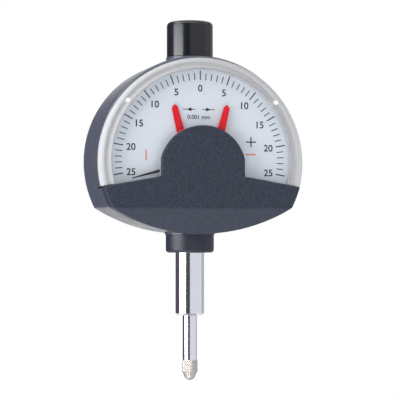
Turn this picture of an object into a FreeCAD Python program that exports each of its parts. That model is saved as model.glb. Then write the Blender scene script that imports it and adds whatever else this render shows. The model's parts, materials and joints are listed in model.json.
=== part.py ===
"""Plunger comparator with a half-moon dial, as an assembly of separate pieces.

Frame: millimetres, +Z up along the stem, -Y to the front (the dial faces -Y), +X to the right.
The origin lies on the stem axis at the middle of the 8 mm clamping shank. Depths called lift are
measured forward from the stem axis, so a lift of 12 lies at y = -12.
"""
import FreeCAD, Part
import math
import os
import Sketcher

Vector = FreeCAD.Vector
doc = FreeCAD.newDocument("comparator")

# ---------------------------------------------------------------- driving dimensions

DIMENSIONS = {
    # stem line
    "shank_dia": 8.0, "shank_len": 17.3, "shank_chamfer": 0.5,
    "collar_dia": 14.0, "collar_len": 5.0, "collar_round": 0.8,
    "dial_above_collar": 25.3, "stem_seat_dia": 9.2, "stem_insert": 1.5,
    "spindle_dia": 4.0, "spindle_reach": 12.4, "spindle_top": 34.0,
    "contact_dia": 4.4, "contact_grip": 3.5, "contact_ball_dia": 3.0, "contact_len": 5.7,
    "contact_thread_dia": 2.5, "contact_thread_len": 4.5, "contact_flutes": 14, "thread_gap": 0.3,
    "travel": 3.0, "run_gap": 0.03, "bush_len": 2.0,
    "ball_dia": 0.78, "ball_gap": 0.01, "cage_wall": 0.5, "cage_len": 12.0,
    "cage_rows": 2, "cage_row_balls": 3, "cage_start": 2.6, "cage_gap": 0.04,
    "cap_dia": 13.3, "cap_top": 39.2, "cap_wall": 1.4, "cap_chamfer": 0.9, "cap_dome": 0.45,
    "neck_dia": 10.2, "neck_len": 4.0, "top_bush_dia": 6.4, "top_bush_len": 5.0, "cap_fit": 0.1,
    # housing
    "body_rad": 28.4, "body_rear": 9.5, "body_front": 12.2, "body_wall": 2.0, "side_wall": 3.0,
    "bottom_rad": 47.8, "bottom_drop": 20.1, "corner_round": 1.2, "foot_drop": 0.2,
    "cover_thick": 1.2, "gasket_thick": 0.3, "gasket_inset": 0.3, "rear_round": 0.6,
    "lug_dia": 6.8, "lug_side_inset": 5.0, "lug_side_angle": 21.3, "lug_low_inset": 13.9, "lug_low_up": 6.5,
    "seat_lift": 11.2, "web_thick": 1.6, "web_inset": 4.5, "web_floor": 13.5, "recess_inset": 2.9,
    # dial, window and front cover
    "dial_thick": 0.8, "dial_gap": 0.3, "dial_hole_dia": 5.4, "dial_screw_x": 5.0, "dial_screw_drop": 15.4,
    "window_step": 0.9, "window_rim": 2.6, "window_lift": 15.2, "window_thick": 1.1,
    "window_bevel": 1.2, "window_fit": 0.12, "skirt_lift": 6.8, "skirt_wall": 0.8, "skirt_gap": 0.05,
    "window_pin_inset": 1.45, "window_pin_dia": 0.8, "window_pin_angle": 53.0, "window_pin_depth": 2.2,
    "mask_lift": 15.8, "mask_wall": 1.5, "mask_front": 1.3, "mask_round": 0.5, "mask_step": 0.2,
    "brow_rad": 12.0, "brow_drop": 2.8, "brow_half": 11.6, "brow_thick": 1.7,
    "wing_drop": 4.6, "wing_slope": 10.0, "crease_drop": 13.2, "crease_fall": 2.2,
    "mask_pin_x": 11.0, "mask_pin_drop": 14.8, "mask_pin_dia": 1.5,
    # movement frame
    "plate_lift": 3.5, "plate_thick": 1.0, "bridge_lift": 8.5, "plate_inset": 3.2, "plate_top": 11.5,
    "bush_dia": 1.8, "pivot_dia": 0.7, "pivot_gap": 0.02, "arbor_dia": 1.2, "end_shake": 0.05,
    "pillar_dia": 2.4, "screw_dia": 1.2, "screw_head_dia": 2.2, "screw_head_len": 0.6,
    "screw_len": 5.0, "fixing_depth": 4.0,
    "pillar_left_x": 12.5, "pillar_left_up": 8.0, "pillar_foot_x": 8.0, "pillar_foot_drop": 14.2,
    "pillar_right_x": 17.5, "pillar_right_drop": 8.0,
    # gear train
    "gear_module": 0.25, "pinion_teeth": 16, "sector_teeth": 160, "gear_angle": 30.0,
    "sector_cut_teeth": 14, "sector_swing": 21.0,
    "sector_input": 1.5, "sector_pin_dia": 0.8,
    "sector_lift": 6.8, "sector_thick": 0.7, "sector_rim": 2.2, "sector_arm": 2.0,
    "gear_backlash": 0.06,
    "lever_input": 1.86, "lever_lift": 5.4, "lever_thick": 0.8, "lever_root": 1.6, "lever_tip": 0.9,
    "lever_gap": 0.03, "hub_dia": 2.2,
    "sleeve_dia": 5.6, "sleeve_len": 3.6, "sleeve_below": 0.67, "drive_pin_dia": 1.0, "ring_thick": 0.6,
    "guide_pin_up": 6.0, "slot_gap": 0.05,
    "spring_collar_up": 16.0, "force_wire": 0.4, "force_turns": 4.5, "load_wire": 0.3,
    "load_turns": 2.5, "spring_play": 0.35,
    "hair_turns": 3.0, "hair_sides": 16, "hair_outer": 4.2, "hair_inner": 1.25, "hair_strip": 0.12, "hair_width": 0.35,
    "hair_lift": 5.25, "stud_dia": 0.8,
    # pointer and markers
    "pointer_len": 19.8, "pointer_tail": 6.5, "pointer_root": 1.5, "pointer_tip": 0.28,
    "pointer_lift": 13.4, "pointer_thick": 0.3, "pointer_hub_dia": 3.2, "pointer_hub_len": 0.55,
    "pointer_rest": 105.0,
    "post_dia": 2.6, "post_bore_dia": 1.4,
    "inner_tube_dia": 3.8, "outer_tube_dia": 5.0, "tube_gap": 0.05,
    "marker_low_lift": 12.15, "marker_thick": 0.5, "marker_step": 0.55, "marker_hub_dia": 7.6,
    "marker_side": 3.55, "marker_root": 2.9, "marker_end": 1.5, "marker_tip_up": 15.0,
    "marker_lean": 13.8,
    "marker_module": 0.4, "wheel_teeth": 52, "setter_teeth": 10, "wheel_thick": 0.4,
    "wheel_cut_teeth": 18, "wheel_low_lift": 9.6, "wheel_step": 0.6, "marker_back": 74.5,
    "marker_out": 24.0, "setter_dia": 1.6, "setter_gap": 0.05, "marker_backlash": 0.12,
    "knob_dia": 6.4, "knob_len": 3.2, "knob_gap": 0.25, "knob_flutes": 16, "flute_depth": 0.25,
}

sheet = doc.addObject("Spreadsheet::Sheet", "sizes")
for row, (name, number) in enumerate(DIMENSIONS.items(), start=1):
    sheet.set(f"A{row}", name)
    sheet.set(f"B{row}", str(number))
    sheet.setAlias(f"B{row}", name)
doc.recompute()


class Size:
    """A number kept together with the spreadsheet expression that gives it."""

    def __init__(self, value, text):
        self.value = float(value)
        self.text = text

    def __add__(self, other):
        other = size(other)
        return Size(self.value + other.value, f"({self.text} + {other.text})")

    def __sub__(self, other):
        other = size(other)
        return Size(self.value - other.value, f"({self.text} - {other.text})")

    def __mul__(self, other):
        other = size(other)
        return Size(self.value * other.value, f"({self.text} * {other.text})")

    def __truediv__(self, other):
        other = size(other)
        return Size(self.value / other.value, f"({self.text} / {other.text})")

    def __radd__(self, other):
        return size(other) + self

    def __rsub__(self, other):
        return size(other) - self

    def __rmul__(self, other):
        return size(other) * self

    def __neg__(self):
        return Size(-self.value, f"(0 - {self.text})")


def size(number):
    """A plain number as a Size; a Size as it is."""
    return number if isinstance(number, Size) else Size(number, repr(float(number)))


def root(square):
    return Size(math.sqrt(square.value), f"sqrt({square.text})")


def sine(angle):
    angle = size(angle)
    return Size(math.sin(math.radians(angle.value)), f"sin({angle.text})")


def cosine(angle):
    angle = size(angle)
    return Size(math.cos(math.radians(angle.value)), f"cos({angle.text})")


def arcsine(ratio):
    return Size(math.degrees(math.asin(ratio.value)), f"(asin({ratio.text}) / 1 deg)")


class Sizes:
    """Every spreadsheet alias as an attribute."""


d = Sizes()
for name, number in DIMENSIONS.items():
    setattr(d, name, Size(number, f"sizes.{name}"))


def bind(item, prop, wanted):
    """Bind one property of an object to an expression on the sheet."""
    item.setExpression(prop, size(wanted).text)


# ---------------------------------------------------------------- shared levels and places

dial_z = d.shank_len / 2 + d.dial_above_collar      # height of the pointer axis
arc_up = d.bottom_rad - d.bottom_drop               # centre of the lower outline above the dial
rear_face = d.cover_thick + d.gasket_thick - d.body_rear        # lift of the housing's rear face
foot_z = dial_z - d.bottom_drop - d.foot_drop       # flat face under the housing
stem_foot = -(d.shank_len / 2)
stem_top = dial_z - d.bottom_drop + d.stem_insert
plate_front = d.plate_lift + d.plate_thick
bridge_front = d.bridge_lift + d.plate_thick
dial_front = d.seat_lift + d.dial_thick
spindle_foot = stem_foot - d.spindle_reach
sector_gap = d.gear_module * (d.pinion_teeth + d.sector_teeth) / 2      # sector axis to pointer axis
sector_x = -(sector_gap * cosine(d.gear_angle))
sector_z = dial_z - sector_gap * sine(d.gear_angle)
pin_x = sector_x + d.sector_input * cosine(d.sector_swing / 2)
pin_z = sector_z - d.sector_input * sine(d.sector_swing / 2)
setter_reach = d.marker_module * (d.wheel_teeth + d.setter_teeth) / 2 * math.sqrt(0.5)
setter_z = dial_z - setter_reach
sleeve_base = sector_z - d.lever_root / 2 - d.lever_gap - d.drive_pin_dia / 2 - d.sleeve_below
sleeve_top = sleeve_base + d.sleeve_len
spring_seat = dial_z + d.spring_collar_up
bush_base = dial_z + d.body_rad - 3.0
neck_top = dial_z + d.body_rad + d.neck_len + 0.5
cap_seat = dial_z + d.body_rad + 0.5
mask_rad = d.body_rad - d.mask_step
window_rad = d.body_rad - d.window_step
window_bore_rad = window_rad - d.window_rim
spigot_rad = window_rad - d.skirt_wall - d.skirt_gap        # housing wall inside the window's skirt

# ---------------------------------------------------------------- building blocks


def body(label):
    item = doc.addObject("PartDesign::Body", label)
    item.Label = label
    return item


def sketch(item, role="XZ_Plane", x=0, y=0, lift=0, turn=0):
    """A sketch on an origin plane of its own body. On XZ_Plane, lift goes forward (to -Y)."""
    drawing = item.newObject("Sketcher::SketchObject", f"{item.Label}_sketch")
    face = next(f for f in item.Origin.OriginFeatures if f.Role == role)
    drawing.AttachmentSupport = [(face, "")]
    drawing.MapMode = "FlatFace"
    bind(drawing, "AttachmentOffset.Base.x", x)
    bind(drawing, "AttachmentOffset.Base.y", y)
    bind(drawing, "AttachmentOffset.Base.z", lift)
    bind(drawing, "AttachmentOffset.Rotation.Angle", turn)
    return drawing


def hold(drawing, curve, end, x, y):
    """Hold one point of a curve at sizes x and y from the sketch's origin."""
    for kind, wanted in (("DistanceX", size(x)), ("DistanceY", size(y))):
        index = drawing.addConstraint(
            Sketcher.Constraint(kind, -1, 1, curve, end, wanted.value))
        drawing.setExpression(f"Constraints[{index}]", wanted.text)


def polygon(drawing, corners):
    """A closed outline of straight lines through the given corners."""
    spots = [(size(x), size(y)) for x, y in corners]
    ends = spots[1:] + spots[:1]
    first = drawing.GeometryCount
    for (ax, ay), (bx, by) in zip(spots, ends):
        drawing.addGeometry(Part.LineSegment(
            Vector(ax.value, ay.value, 0), Vector(bx.value, by.value, 0)), False)
    count = len(spots)
    for index in range(count):
        following = first + (index + 1) % count
        drawing.addConstraint(
            Sketcher.Constraint("Coincident", first + index, 2, following, 1))
    for index, (x, y) in enumerate(spots):
        hold(drawing, first + index, 1, x, y)


def circle(drawing, radius, x=0, y=0):
    radius = size(radius)
    centre = Vector(size(x).value, size(y).value, 0)
    curve = drawing.addGeometry(Part.Circle(centre, Vector(0, 0, 1), radius.value), False)
    hold(drawing, curve, 3, x, y)
    index = drawing.addConstraint(Sketcher.Constraint("Radius", curve, radius.value))
    drawing.setExpression(f"Constraints[{index}]", radius.text)


def arc(drawing, radius, up, start, end):
    """An arc about a centre on the sketch's vertical axis, between two angles in radians."""
    radius = size(radius)
    shape = Part.Circle(Vector(0, size(up).value, 0), Vector(0, 0, 1), radius.value)
    curve = drawing.addGeometry(Part.ArcOfCircle(shape, start, end), False)
    hold(drawing, curve, 3, 0, up)
    index = drawing.addConstraint(Sketcher.Constraint("Radius", curve, radius.value))
    drawing.setExpression(f"Constraints[{index}]", radius.text)
    return curve


def shell_outline(drawing, inset, side=None):
    """The housing's outline moved in by inset: a circle closed below by a flatter arc.

    side is the circle's own radius where it isn't moved in as far as the lower arc.
    """
    ring = side or d.body_rad - inset
    low = d.bottom_rad - inset
    up = arc_up.value
    corner_y = (ring.value**2 - low.value**2 + up**2) / (2 * up)
    corner_x = math.sqrt(ring.value**2 - corner_y**2)
    side = math.atan2(corner_y, corner_x)
    below = math.atan2(corner_y - up, corner_x)
    top = arc(drawing, ring, 0, side, math.pi - side)
    foot = arc(drawing, low, arc_up, -math.pi - below, below)
    drawing.addConstraint(Sketcher.Constraint("Coincident", top, 1, foot, 2))
    drawing.addConstraint(Sketcher.Constraint("Coincident", top, 2, foot, 1))


def pad(item, drawing, length, backward=False):
    feature = item.newObject("PartDesign::Pad", f"{item.Label}_pad")
    feature.Profile = drawing
    feature.Reversed = backward
    bind(feature, "Length", length)
    return feature


def pocket(item, drawing, depth, backward=False):
    """Cut material behind the sketch, or in front of it when backward is False."""
    feature = item.newObject("PartDesign::Pocket", f"{item.Label}_pocket")
    feature.Profile = drawing
    feature.Reversed = not backward
    bind(feature, "Length", depth)
    return feature


def turned(label, profile):
    """A piece turned about the stem axis; the profile lists radius and height."""
    item = body(label)
    drawing = sketch(item)
    polygon(drawing, profile)
    feature = item.newObject("PartDesign::Revolution", f"{label}_turning")
    feature.Profile = drawing
    feature.ReferenceAxis = (drawing, ["V_Axis"])
    feature.Angle = 360
    return item


def pattern(item, feature, drawing, count, angle):
    """Repeat a feature about the sketch's origin; angle is the whole span."""
    copies = item.newObject("PartDesign::PolarPattern", f"{item.Label}_pattern")
    copies.Originals = [feature]
    copies.Axis = (drawing, ["N_Axis"])
    bind(copies, "Angle", angle)
    bind(copies, "Occurrences", count)
    item.Tip = copies
    return copies


def dressed(item, kind, edges, amount):
    """Round or bevel the chosen edges of a body's last feature."""
    doc.recompute()
    base = item.Tip
    names = [f"Edge{i}" for i, edge in enumerate(base.Shape.Edges, start=1) if edges(edge)]
    feature = item.newObject(f"PartDesign::{kind}", f"{item.Label}_{kind.lower()}")
    feature.Base = (base, names)
    bind(feature, "Radius" if kind == "Fillet" else "Size", amount)
    return feature


def at_lift(lift):
    """A test for edges that lie wholly in the plane at this lift."""
    level = -size(lift).value
    return lambda edge: abs(edge.BoundBox.YMin - level) < 1e-6 and abs(edge.BoundBox.YMax - level) < 1e-6


def rod(name, dia, start, end, x=0, z=0):
    """A cylinder that points forward, between two lifts."""
    item = doc.addObject("Part::Cylinder", name)
    bind(item, "Radius", size(dia) / 2)
    bind(item, "Height", size(end) - start)
    item.Placement = FreeCAD.Placement(Vector(), FreeCAD.Rotation(Vector(1, 0, 0), 90))
    bind(item, "Placement.Base.x", x)
    bind(item, "Placement.Base.y", -size(start))
    bind(item, "Placement.Base.z", z)
    return item


def prism(name, sides, dia, start, end, x=0, z=0):
    """A straight-sided bar that points forward, between two lifts; dia is across its corners."""
    item = doc.addObject("Part::Prism", name)
    item.Polygon = sides
    bind(item, "Circumradius", size(dia) / 2)
    bind(item, "Height", size(end) - start)
    item.Placement = FreeCAD.Placement(Vector(), FreeCAD.Rotation(Vector(1, 0, 0), 90))
    bind(item, "Placement.Base.x", x)
    bind(item, "Placement.Base.y", -size(start))
    bind(item, "Placement.Base.z", z)
    return item


def screw(name, x, z, head_start, head_end, shank_start, shank_end):
    """A hexagon-headed screw; its shank is drawn with eight flats inside its round hole."""
    head = prism(f"{name}_head", 6, d.screw_head_dia, head_start, head_end, x, z)
    shank = prism(f"{name}_shank", 8, d.screw_dia, shank_start, shank_end, x, z)
    return fused(name, [head, shank])


def fused(label, items):
    if len(items) == 1:
        items[0].Label = label
        return items[0]
    item = doc.addObject("Part::MultiFuse", label)
    item.Shapes = items
    item.Label = label
    return item


def cut(label, base, tools):
    item = doc.addObject("Part::Cut", label)
    item.Base = base
    item.Tool = tools[0] if len(tools) == 1 else fused(f"{label}_tools", tools)
    item.Label = label
    return item


def group(label, items):
    item = doc.addObject("Part::Compound", label)
    item.Links = items
    item.Label = label
    return item


def stepped(name, steps, x=0, z=0):
    """A round piece that points forward: steps of diameter, start and end lift."""
    return fused(name, [rod(f"{name}_step", dia, start, end, x, z) for dia, start, end in steps])


# ---------------------------------------------------------------- housing and covers

lug_ring = d.body_rad - d.lug_side_inset
lugs = [(side * x, dial_z + z) for side in (-1, 1)
        for x, z in ((lug_ring * cosine(d.lug_side_angle), lug_ring * sine(d.lug_side_angle)),
                     (d.body_rad - d.lug_low_inset, d.lug_low_up - d.bottom_drop))]


def make_housing():
    item = body("housing")
    outline = sketch(item, y=dial_z, lift=rear_face)
    shell_outline(outline, 0)
    pad(item, outline, d.body_front - rear_face)
    dressed(item, "Fillet", is_corner, d.corner_round)
    skirt_step(item)
    cavity = sketch(item, y=dial_z, lift=rear_face)
    shell_outline(cavity, d.body_wall, d.body_rad - d.side_wall)
    pocket(item, cavity, d.seat_lift - d.web_thick - rear_face)
    opening = sketch(item, y=dial_z, lift=d.body_front)
    web_opening(opening)
    pocket(item, opening, d.body_front - d.seat_lift + d.web_thick, backward=True)
    recess = sketch(item, y=dial_z, lift=d.body_front)
    shell_outline(recess, d.recess_inset)
    pocket(item, recess, d.body_front - d.seat_lift, backward=True)
    for x, z in lugs:
        lug = sketch(item, lift=rear_face)
        circle(lug, d.lug_dia / 2, x, z)
        pad(item, lug, d.plate_lift - rear_face)
    neck = sketch(item, role="XY_Plane", lift=bush_base)
    circle(neck, d.cap_dia / 2)
    pad(item, neck, cap_seat - bush_base)
    spigot = sketch(item, role="XY_Plane", lift=bush_base)
    circle(spigot, d.neck_dia / 2)
    pad(item, spigot, neck_top - bush_base)
    foot = sketch(item, role="XY_Plane", lift=foot_z)
    circle(foot, d.collar_dia / 2)
    pad(item, foot, d.foot_drop + d.body_wall)
    bush_hole = sketch(item, role="XY_Plane", lift=bush_base - 1)
    circle(bush_hole, d.top_bush_dia / 2)
    through(item, bush_hole)
    stem_hole = sketch(item, role="XY_Plane", lift=foot_z)
    circle(stem_hole, d.stem_seat_dia / 2)
    hole = pocket(item, stem_hole, d.foot_drop + d.body_wall + 1)
    hole.Reversed = True
    for x, z in lugs:
        screw = sketch(item, lift=rear_face)
        circle(screw, d.screw_dia / 2, x, z)
        pocket(item, screw, d.plate_lift - rear_face)
    holes = sketch(item, y=dial_z, lift=d.seat_lift)
    for side in (-1, 1):
        circle(holes, d.mask_pin_dia / 2, side * d.mask_pin_x, -d.mask_pin_drop)
        circle(holes, d.screw_dia / 2, side * d.dial_screw_x, -d.dial_screw_drop)
    pocket(item, holes, d.web_thick, backward=True)
    pin_holes = sketch(item, y=dial_z, lift=d.body_front)
    for side in (-1, 1):
        circle(pin_holes, d.window_pin_dia / 2, side * window_pin_x, window_pin_up)
    pocket(item, pin_holes, d.window_pin_depth, backward=True)
    return item


window_pin_rad = window_rad - d.window_pin_inset
window_pin_x = window_pin_rad * sine(d.window_pin_angle)
window_pin_up = window_pin_rad * cosine(d.window_pin_angle)


def skirt_step(item):
    """Turn the upper front of the housing down to a spigot, from one wing of the cover to the other."""
    drawing = sketch(item, role="YZ_Plane", y=dial_z)
    outside = d.body_rad * 1.1
    front = -d.body_front - 1
    polygon(drawing, [(-d.skirt_lift, spigot_rad), (front, spigot_rad),
                      (front, outside), (-d.skirt_lift, outside)])
    feature = item.newObject("PartDesign::Groove", "skirt_step")
    feature.Profile = drawing
    feature.ReferenceAxis = (drawing, ["H_Axis"])
    feature.Midplane = True
    wing_end = -wing_line(window_rad, size(0)) / spigot_rad
    bind(feature, "Angle", (arcsine(wing_end) + 90) * 2)


def is_corner(edge):
    """The two depth-wise edges where the round side meets the flatter bottom."""
    box = edge.BoundBox
    return box.YLength > 5 and abs(box.XMin) > 20 and box.XLength < 0.01


def web_opening(drawing):
    """A circle with a flat floor, open for the marker wheels."""
    ring = d.body_rad - d.web_inset
    floor = -d.web_floor
    half = root(ring * ring - floor * floor)
    side = math.atan2(floor.value, half.value)
    top = arc(drawing, ring, 0, side, math.pi - side)
    line = drawing.addGeometry(Part.LineSegment(
        Vector(-half.value, floor.value, 0), Vector(half.value, floor.value, 0)), False)
    drawing.addConstraint(Sketcher.Constraint("Coincident", top, 2, line, 1))
    drawing.addConstraint(Sketcher.Constraint("Coincident", line, 2, top, 1))
    hold_height(drawing, line, 1, floor)
    hold_height(drawing, line, 2, floor)


def through(item, drawing):
    """Cut upward through everything."""
    feature = item.newObject("PartDesign::Pocket", f"{item.Label}_bore")
    feature.Profile = drawing
    feature.Type = "ThroughAll"
    feature.Reversed = True
    return feature


def make_rear_cover():
    item = body("rear_cover")
    outline = sketch(item, y=dial_z, lift=-d.body_rear)
    shell_outline(outline, 0)
    pad(item, outline, d.cover_thick)
    dressed(item, "Chamfer", at_lift(-d.body_rear), d.rear_round)
    for x, z in lugs:
        hole = sketch(item, lift=-d.body_rear)
        circle(hole, d.screw_dia / 2, x, z)
        pocket(item, hole, d.cover_thick)
        seat = sketch(item, lift=-d.body_rear)
        circle(seat, d.screw_head_dia / 2 + d.setter_gap, x, z)
        pocket(item, seat, d.screw_head_len)
    for side in (-1, 1):
        hole = sketch(item, lift=-d.body_rear)
        circle(hole, d.setter_dia / 2 + d.setter_gap, side * setter_reach, setter_z)
        pocket(item, hole, d.cover_thick)
    return item


def make_rear_gasket():
    item = body("rear_gasket")
    outline = sketch(item, y=dial_z, lift=rear_face - d.gasket_thick)
    shell_outline(outline, d.gasket_inset)
    pad(item, outline, d.gasket_thick)
    inside = sketch(item, y=dial_z, lift=rear_face - d.gasket_thick)
    shell_outline(inside, d.body_wall, d.body_rad - d.side_wall)
    pocket(item, inside, d.gasket_thick)
    return item


def make_rear_screws():
    head = d.screw_head_len - d.body_rear
    return group("rear_cover_screws", [
        screw("rear_screw", x, z, -d.body_rear, head, head, head + d.screw_len) for x, z in lugs])


# ---------------------------------------------------------------- stem line

def make_stem():
    outer = d.shank_dia / 2
    bore = d.spindle_dia / 2 + d.run_gap
    seat = d.stem_seat_dia / 2
    race = d.spindle_dia / 2 + d.ball_dia + 2 * d.ball_gap
    inner_foot = stem_foot + d.bush_len
    return turned("stem", [
        (bore, stem_foot), (outer - d.shank_chamfer, stem_foot),
        (outer, stem_foot + d.shank_chamfer), (outer, -stem_foot), (seat, -stem_foot), (seat, stem_top),
        (race, stem_top), (race, inner_foot), (bore, inner_foot)])


def make_collar():
    inner = d.stem_seat_dia / 2
    outer = d.collar_dia / 2
    low = -stem_foot
    item = turned("collar", [
        (inner, low), (outer - d.collar_round, low), (outer, low + d.collar_round),
        (outer, foot_z), (inner, foot_z)])
    return item


def make_cap():
    outer = d.cap_dia / 2
    inner = d.neck_dia / 2 + d.cap_fit
    top = dial_z + d.cap_top
    shoulder = top - d.cap_dome - d.cap_chamfer
    roof = top - d.cap_dome - d.cap_wall
    return turned("protective_cap", [
        (inner, cap_seat), (outer, cap_seat), (outer, shoulder),
        (outer - d.cap_chamfer, shoulder + d.cap_chamfer), (outer * 0.5, top - d.cap_dome * 0.15),
        (0, top), (0, roof), (inner, roof)])


def make_top_bush():
    inner = d.spindle_dia / 2 + d.run_gap
    outer = d.top_bush_dia / 2
    return turned("top_bush", [
        (inner, bush_base), (outer, bush_base), (outer, bush_base + d.top_bush_len),
        (inner, bush_base + d.top_bush_len)])


guide_pin_back = 0.4 - d.spindle_dia / 2            # a thin floor is left behind the pin


def make_spindle():
    item = body("spindle")
    outline = sketch(item, role="XY_Plane", lift=spindle_foot)
    circle(outline, d.spindle_dia / 2)
    pad(item, outline, dial_z + d.spindle_top - spindle_foot)
    thread = sketch(item, role="XY_Plane", lift=spindle_foot)
    circle(thread, d.contact_thread_dia / 2)
    pocket(item, thread, d.contact_thread_len + d.thread_gap)
    cross = sketch(item, y=dial_z + d.guide_pin_up, lift=guide_pin_back)
    circle(cross, d.drive_pin_dia / 2)
    pocket(item, cross, d.spindle_dia)
    return item


def make_contact_point():
    outer = d.contact_dia / 2
    thread = d.contact_thread_dia / 2
    ball = d.contact_ball_dia / 2
    grip_foot = spindle_foot - d.contact_grip
    tip = spindle_foot - d.contact_len
    socket = 0.86 * ball
    rim = tip + ball - 0.51 * ball
    item = turned("contact_point", [
        (0, spindle_foot + d.contact_thread_len), (thread, spindle_foot + d.contact_thread_len),
        (thread, spindle_foot), (outer, spindle_foot), (outer, grip_foot),
        (socket, rim), (0, rim)])
    flute = sketch(item, role="XY_Plane", lift=grip_foot - 1)
    notch(flute, outer)
    groove = pocket(item, flute, d.contact_grip + 1)
    groove.Reversed = True
    count = d.contact_flutes
    pattern(item, groove, flute, count, 360)
    return item


def make_contact_ball():
    """The ball that touches the work, cut flat where it is seated in the contact point."""
    ball = d.contact_ball_dia / 2
    tip = spindle_foot - d.contact_len
    sphere = doc.addObject("Part::Sphere", "tip_sphere")
    bind(sphere, "Radius", ball)
    bind(sphere, "Placement.Base.z", tip + ball)
    above = doc.addObject("Part::Cylinder", "tip_trim")
    bind(above, "Radius", ball * 2)
    bind(above, "Height", ball * 3)
    bind(above, "Placement.Base.z", tip + ball - 0.51 * ball)
    return cut("contact_ball", sphere, [above])


def notch(drawing, radius):
    """A vee cut into the edge of a round piece, on the sketch's x axis."""
    deep = radius - d.flute_depth
    out = radius + d.flute_depth
    polygon(drawing, [(deep, 0), (out, -(d.flute_depth * 2)), (out, d.flute_depth * 2)])


def ring(label, inner_dia, outer_dia, low, high):
    return turned(label, [(size(inner_dia) / 2, low), (size(outer_dia) / 2, low),
                          (size(outer_dia) / 2, high), (size(inner_dia) / 2, high)])


def make_cage():
    inner = d.spindle_dia / 2 + (d.ball_dia - d.cage_wall) / 2 + d.ball_gap
    low = stem_foot + d.cage_start
    item = turned("ball_cage", [
        (inner, low), (inner + d.cage_wall, low),
        (inner + d.cage_wall, low + d.cage_len), (inner, low + d.cage_len)])
    for z in ball_rows():
        drawing = sketch(item, y=z)
        circle(drawing, d.ball_dia / 2 + d.cage_gap)
        hole = item.newObject("PartDesign::Pocket", "cage_hole")
        hole.Profile = drawing
        hole.Reversed = True
        bind(hole, "Length", d.spindle_dia)
        axis = next(f for f in item.Origin.OriginFeatures if f.Role == "Z_Axis")
        copies = item.newObject("PartDesign::PolarPattern", "cage_holes")
        copies.Originals = [hole]
        copies.Axis = (axis, [""])
        copies.Angle = 360
        bind(copies, "Occurrences", d.cage_row_balls)
        item.Tip = copies
    return item


def ball_rows():
    """Height of each row of balls in the cage."""
    low = stem_foot + d.cage_start
    rows = int(d.cage_rows.value)
    step = d.cage_len / d.cage_rows
    return [low + step * (row + 0.5) for row in range(rows)]


def make_cage_balls():
    orbit = d.spindle_dia / 2 + d.ball_dia / 2 + d.ball_gap
    per_row = int(d.cage_row_balls.value)
    balls = []
    for z in ball_rows():
        for index in range(per_row):
            turn = size(index * 360) / d.cage_row_balls - 90
            balls.append(plain_ball(orbit * cosine(turn), orbit * sine(turn), z))
    return group("cage_balls", balls)


def plain_ball(x, y, z):
    """A ball drawn with few faces: an eight-sided drum between two eight-sided cones."""
    radius = d.ball_dia / 2
    belt = radius * 0.4
    parts = []
    for low, high, near, far in ((-radius, -belt, 0.4, 0.9), (belt, radius, 0.9, 0.4)):
        cone = doc.addObject("Part::Loft", "ball_end")
        rims = []
        for level, share in ((low, near), (high, far)):
            rim = doc.addObject("Part::RegularPolygon", "ball_rim")
            rim.Polygon = 8
            bind(rim, "Circumradius", radius * share)
            bind(rim, "Placement.Base.x", x)
            bind(rim, "Placement.Base.y", y)
            bind(rim, "Placement.Base.z", z + level)
            rims.append(rim)
        cone.Sections = rims
        cone.Solid = True
        cone.Ruled = True
        parts.append(cone)
    drum = doc.addObject("Part::Prism", "ball_drum")
    drum.Polygon = 8
    bind(drum, "Circumradius", radius * 0.9)
    bind(drum, "Height", belt * 2)
    bind(drum, "Placement.Base.x", x)
    bind(drum, "Placement.Base.y", y)
    bind(drum, "Placement.Base.z", z - belt)
    return fused("cage_ball", parts + [drum])


def coil(label, mean_dia, wire, low, high, turns):
    """A helical spring of square wire between two heights."""
    item = body(label)
    drawing = sketch(item)
    half = wire / 2
    centre = mean_dia / 2
    polygon(drawing, [(centre - half, low), (centre + half, low),
                      (centre + half, low + wire), (centre - half, low + wire)])
    feature = item.newObject("PartDesign::AdditiveHelix", f"{label}_helix")
    feature.Profile = drawing
    feature.ReferenceAxis = (drawing, ["V_Axis"])
    feature.Mode = "height-turns-angle"
    bind(feature, "Height", high - low - wire)
    bind(feature, "Turns", turns)
    return item


def make_springs():
    play = d.spring_play
    force = coil("force_spring", d.spindle_dia + 2 * play + d.force_wire, d.force_wire,
                 spring_seat, bush_base, d.force_turns)
    load = coil("overload_spring", d.spindle_dia + 2 * play + d.load_wire, d.load_wire,
                stem_top + d.ring_thick, sleeve_base, d.load_turns)
    return [force, load]


def make_drive_sleeve():
    inner = d.spindle_dia / 2 + d.run_gap
    outer = d.sleeve_dia / 2
    item = turned("drive_sleeve", [(inner, sleeve_base), (outer, sleeve_base),
                                   (outer, sleeve_top), (inner, sleeve_top)])
    hole = sketch(item, y=drive_pin_z)
    circle(hole, d.drive_pin_dia / 2)
    pocket(item, hole, outer + 1)
    return item


drive_pin_z = sleeve_base + d.sleeve_below


def make_pins():
    drive = rod("drive_pin", d.drive_pin_dia, d.spindle_dia / 2 + d.run_gap * 2,
                d.lever_lift + d.lever_thick, 0, drive_pin_z)
    guide = rod("guide_pin", d.drive_pin_dia, guide_pin_back, plate_front + 0.4,
                0, dial_z + d.guide_pin_up)
    return [drive, guide]


# ---------------------------------------------------------------- movement

pillars = [(-d.pillar_left_x, dial_z + d.pillar_left_up), (d.pillar_left_x, dial_z + d.pillar_left_up),
           (-d.pillar_foot_x, dial_z - d.pillar_foot_drop), (d.pillar_right_x, dial_z - d.pillar_right_drop)]
stud_x = d.hair_outer + d.stud_dia / 2
lever_x = d.lever_input
lever_z = sector_z
setters = [(-setter_reach, setter_z), (setter_reach, setter_z)]


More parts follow.
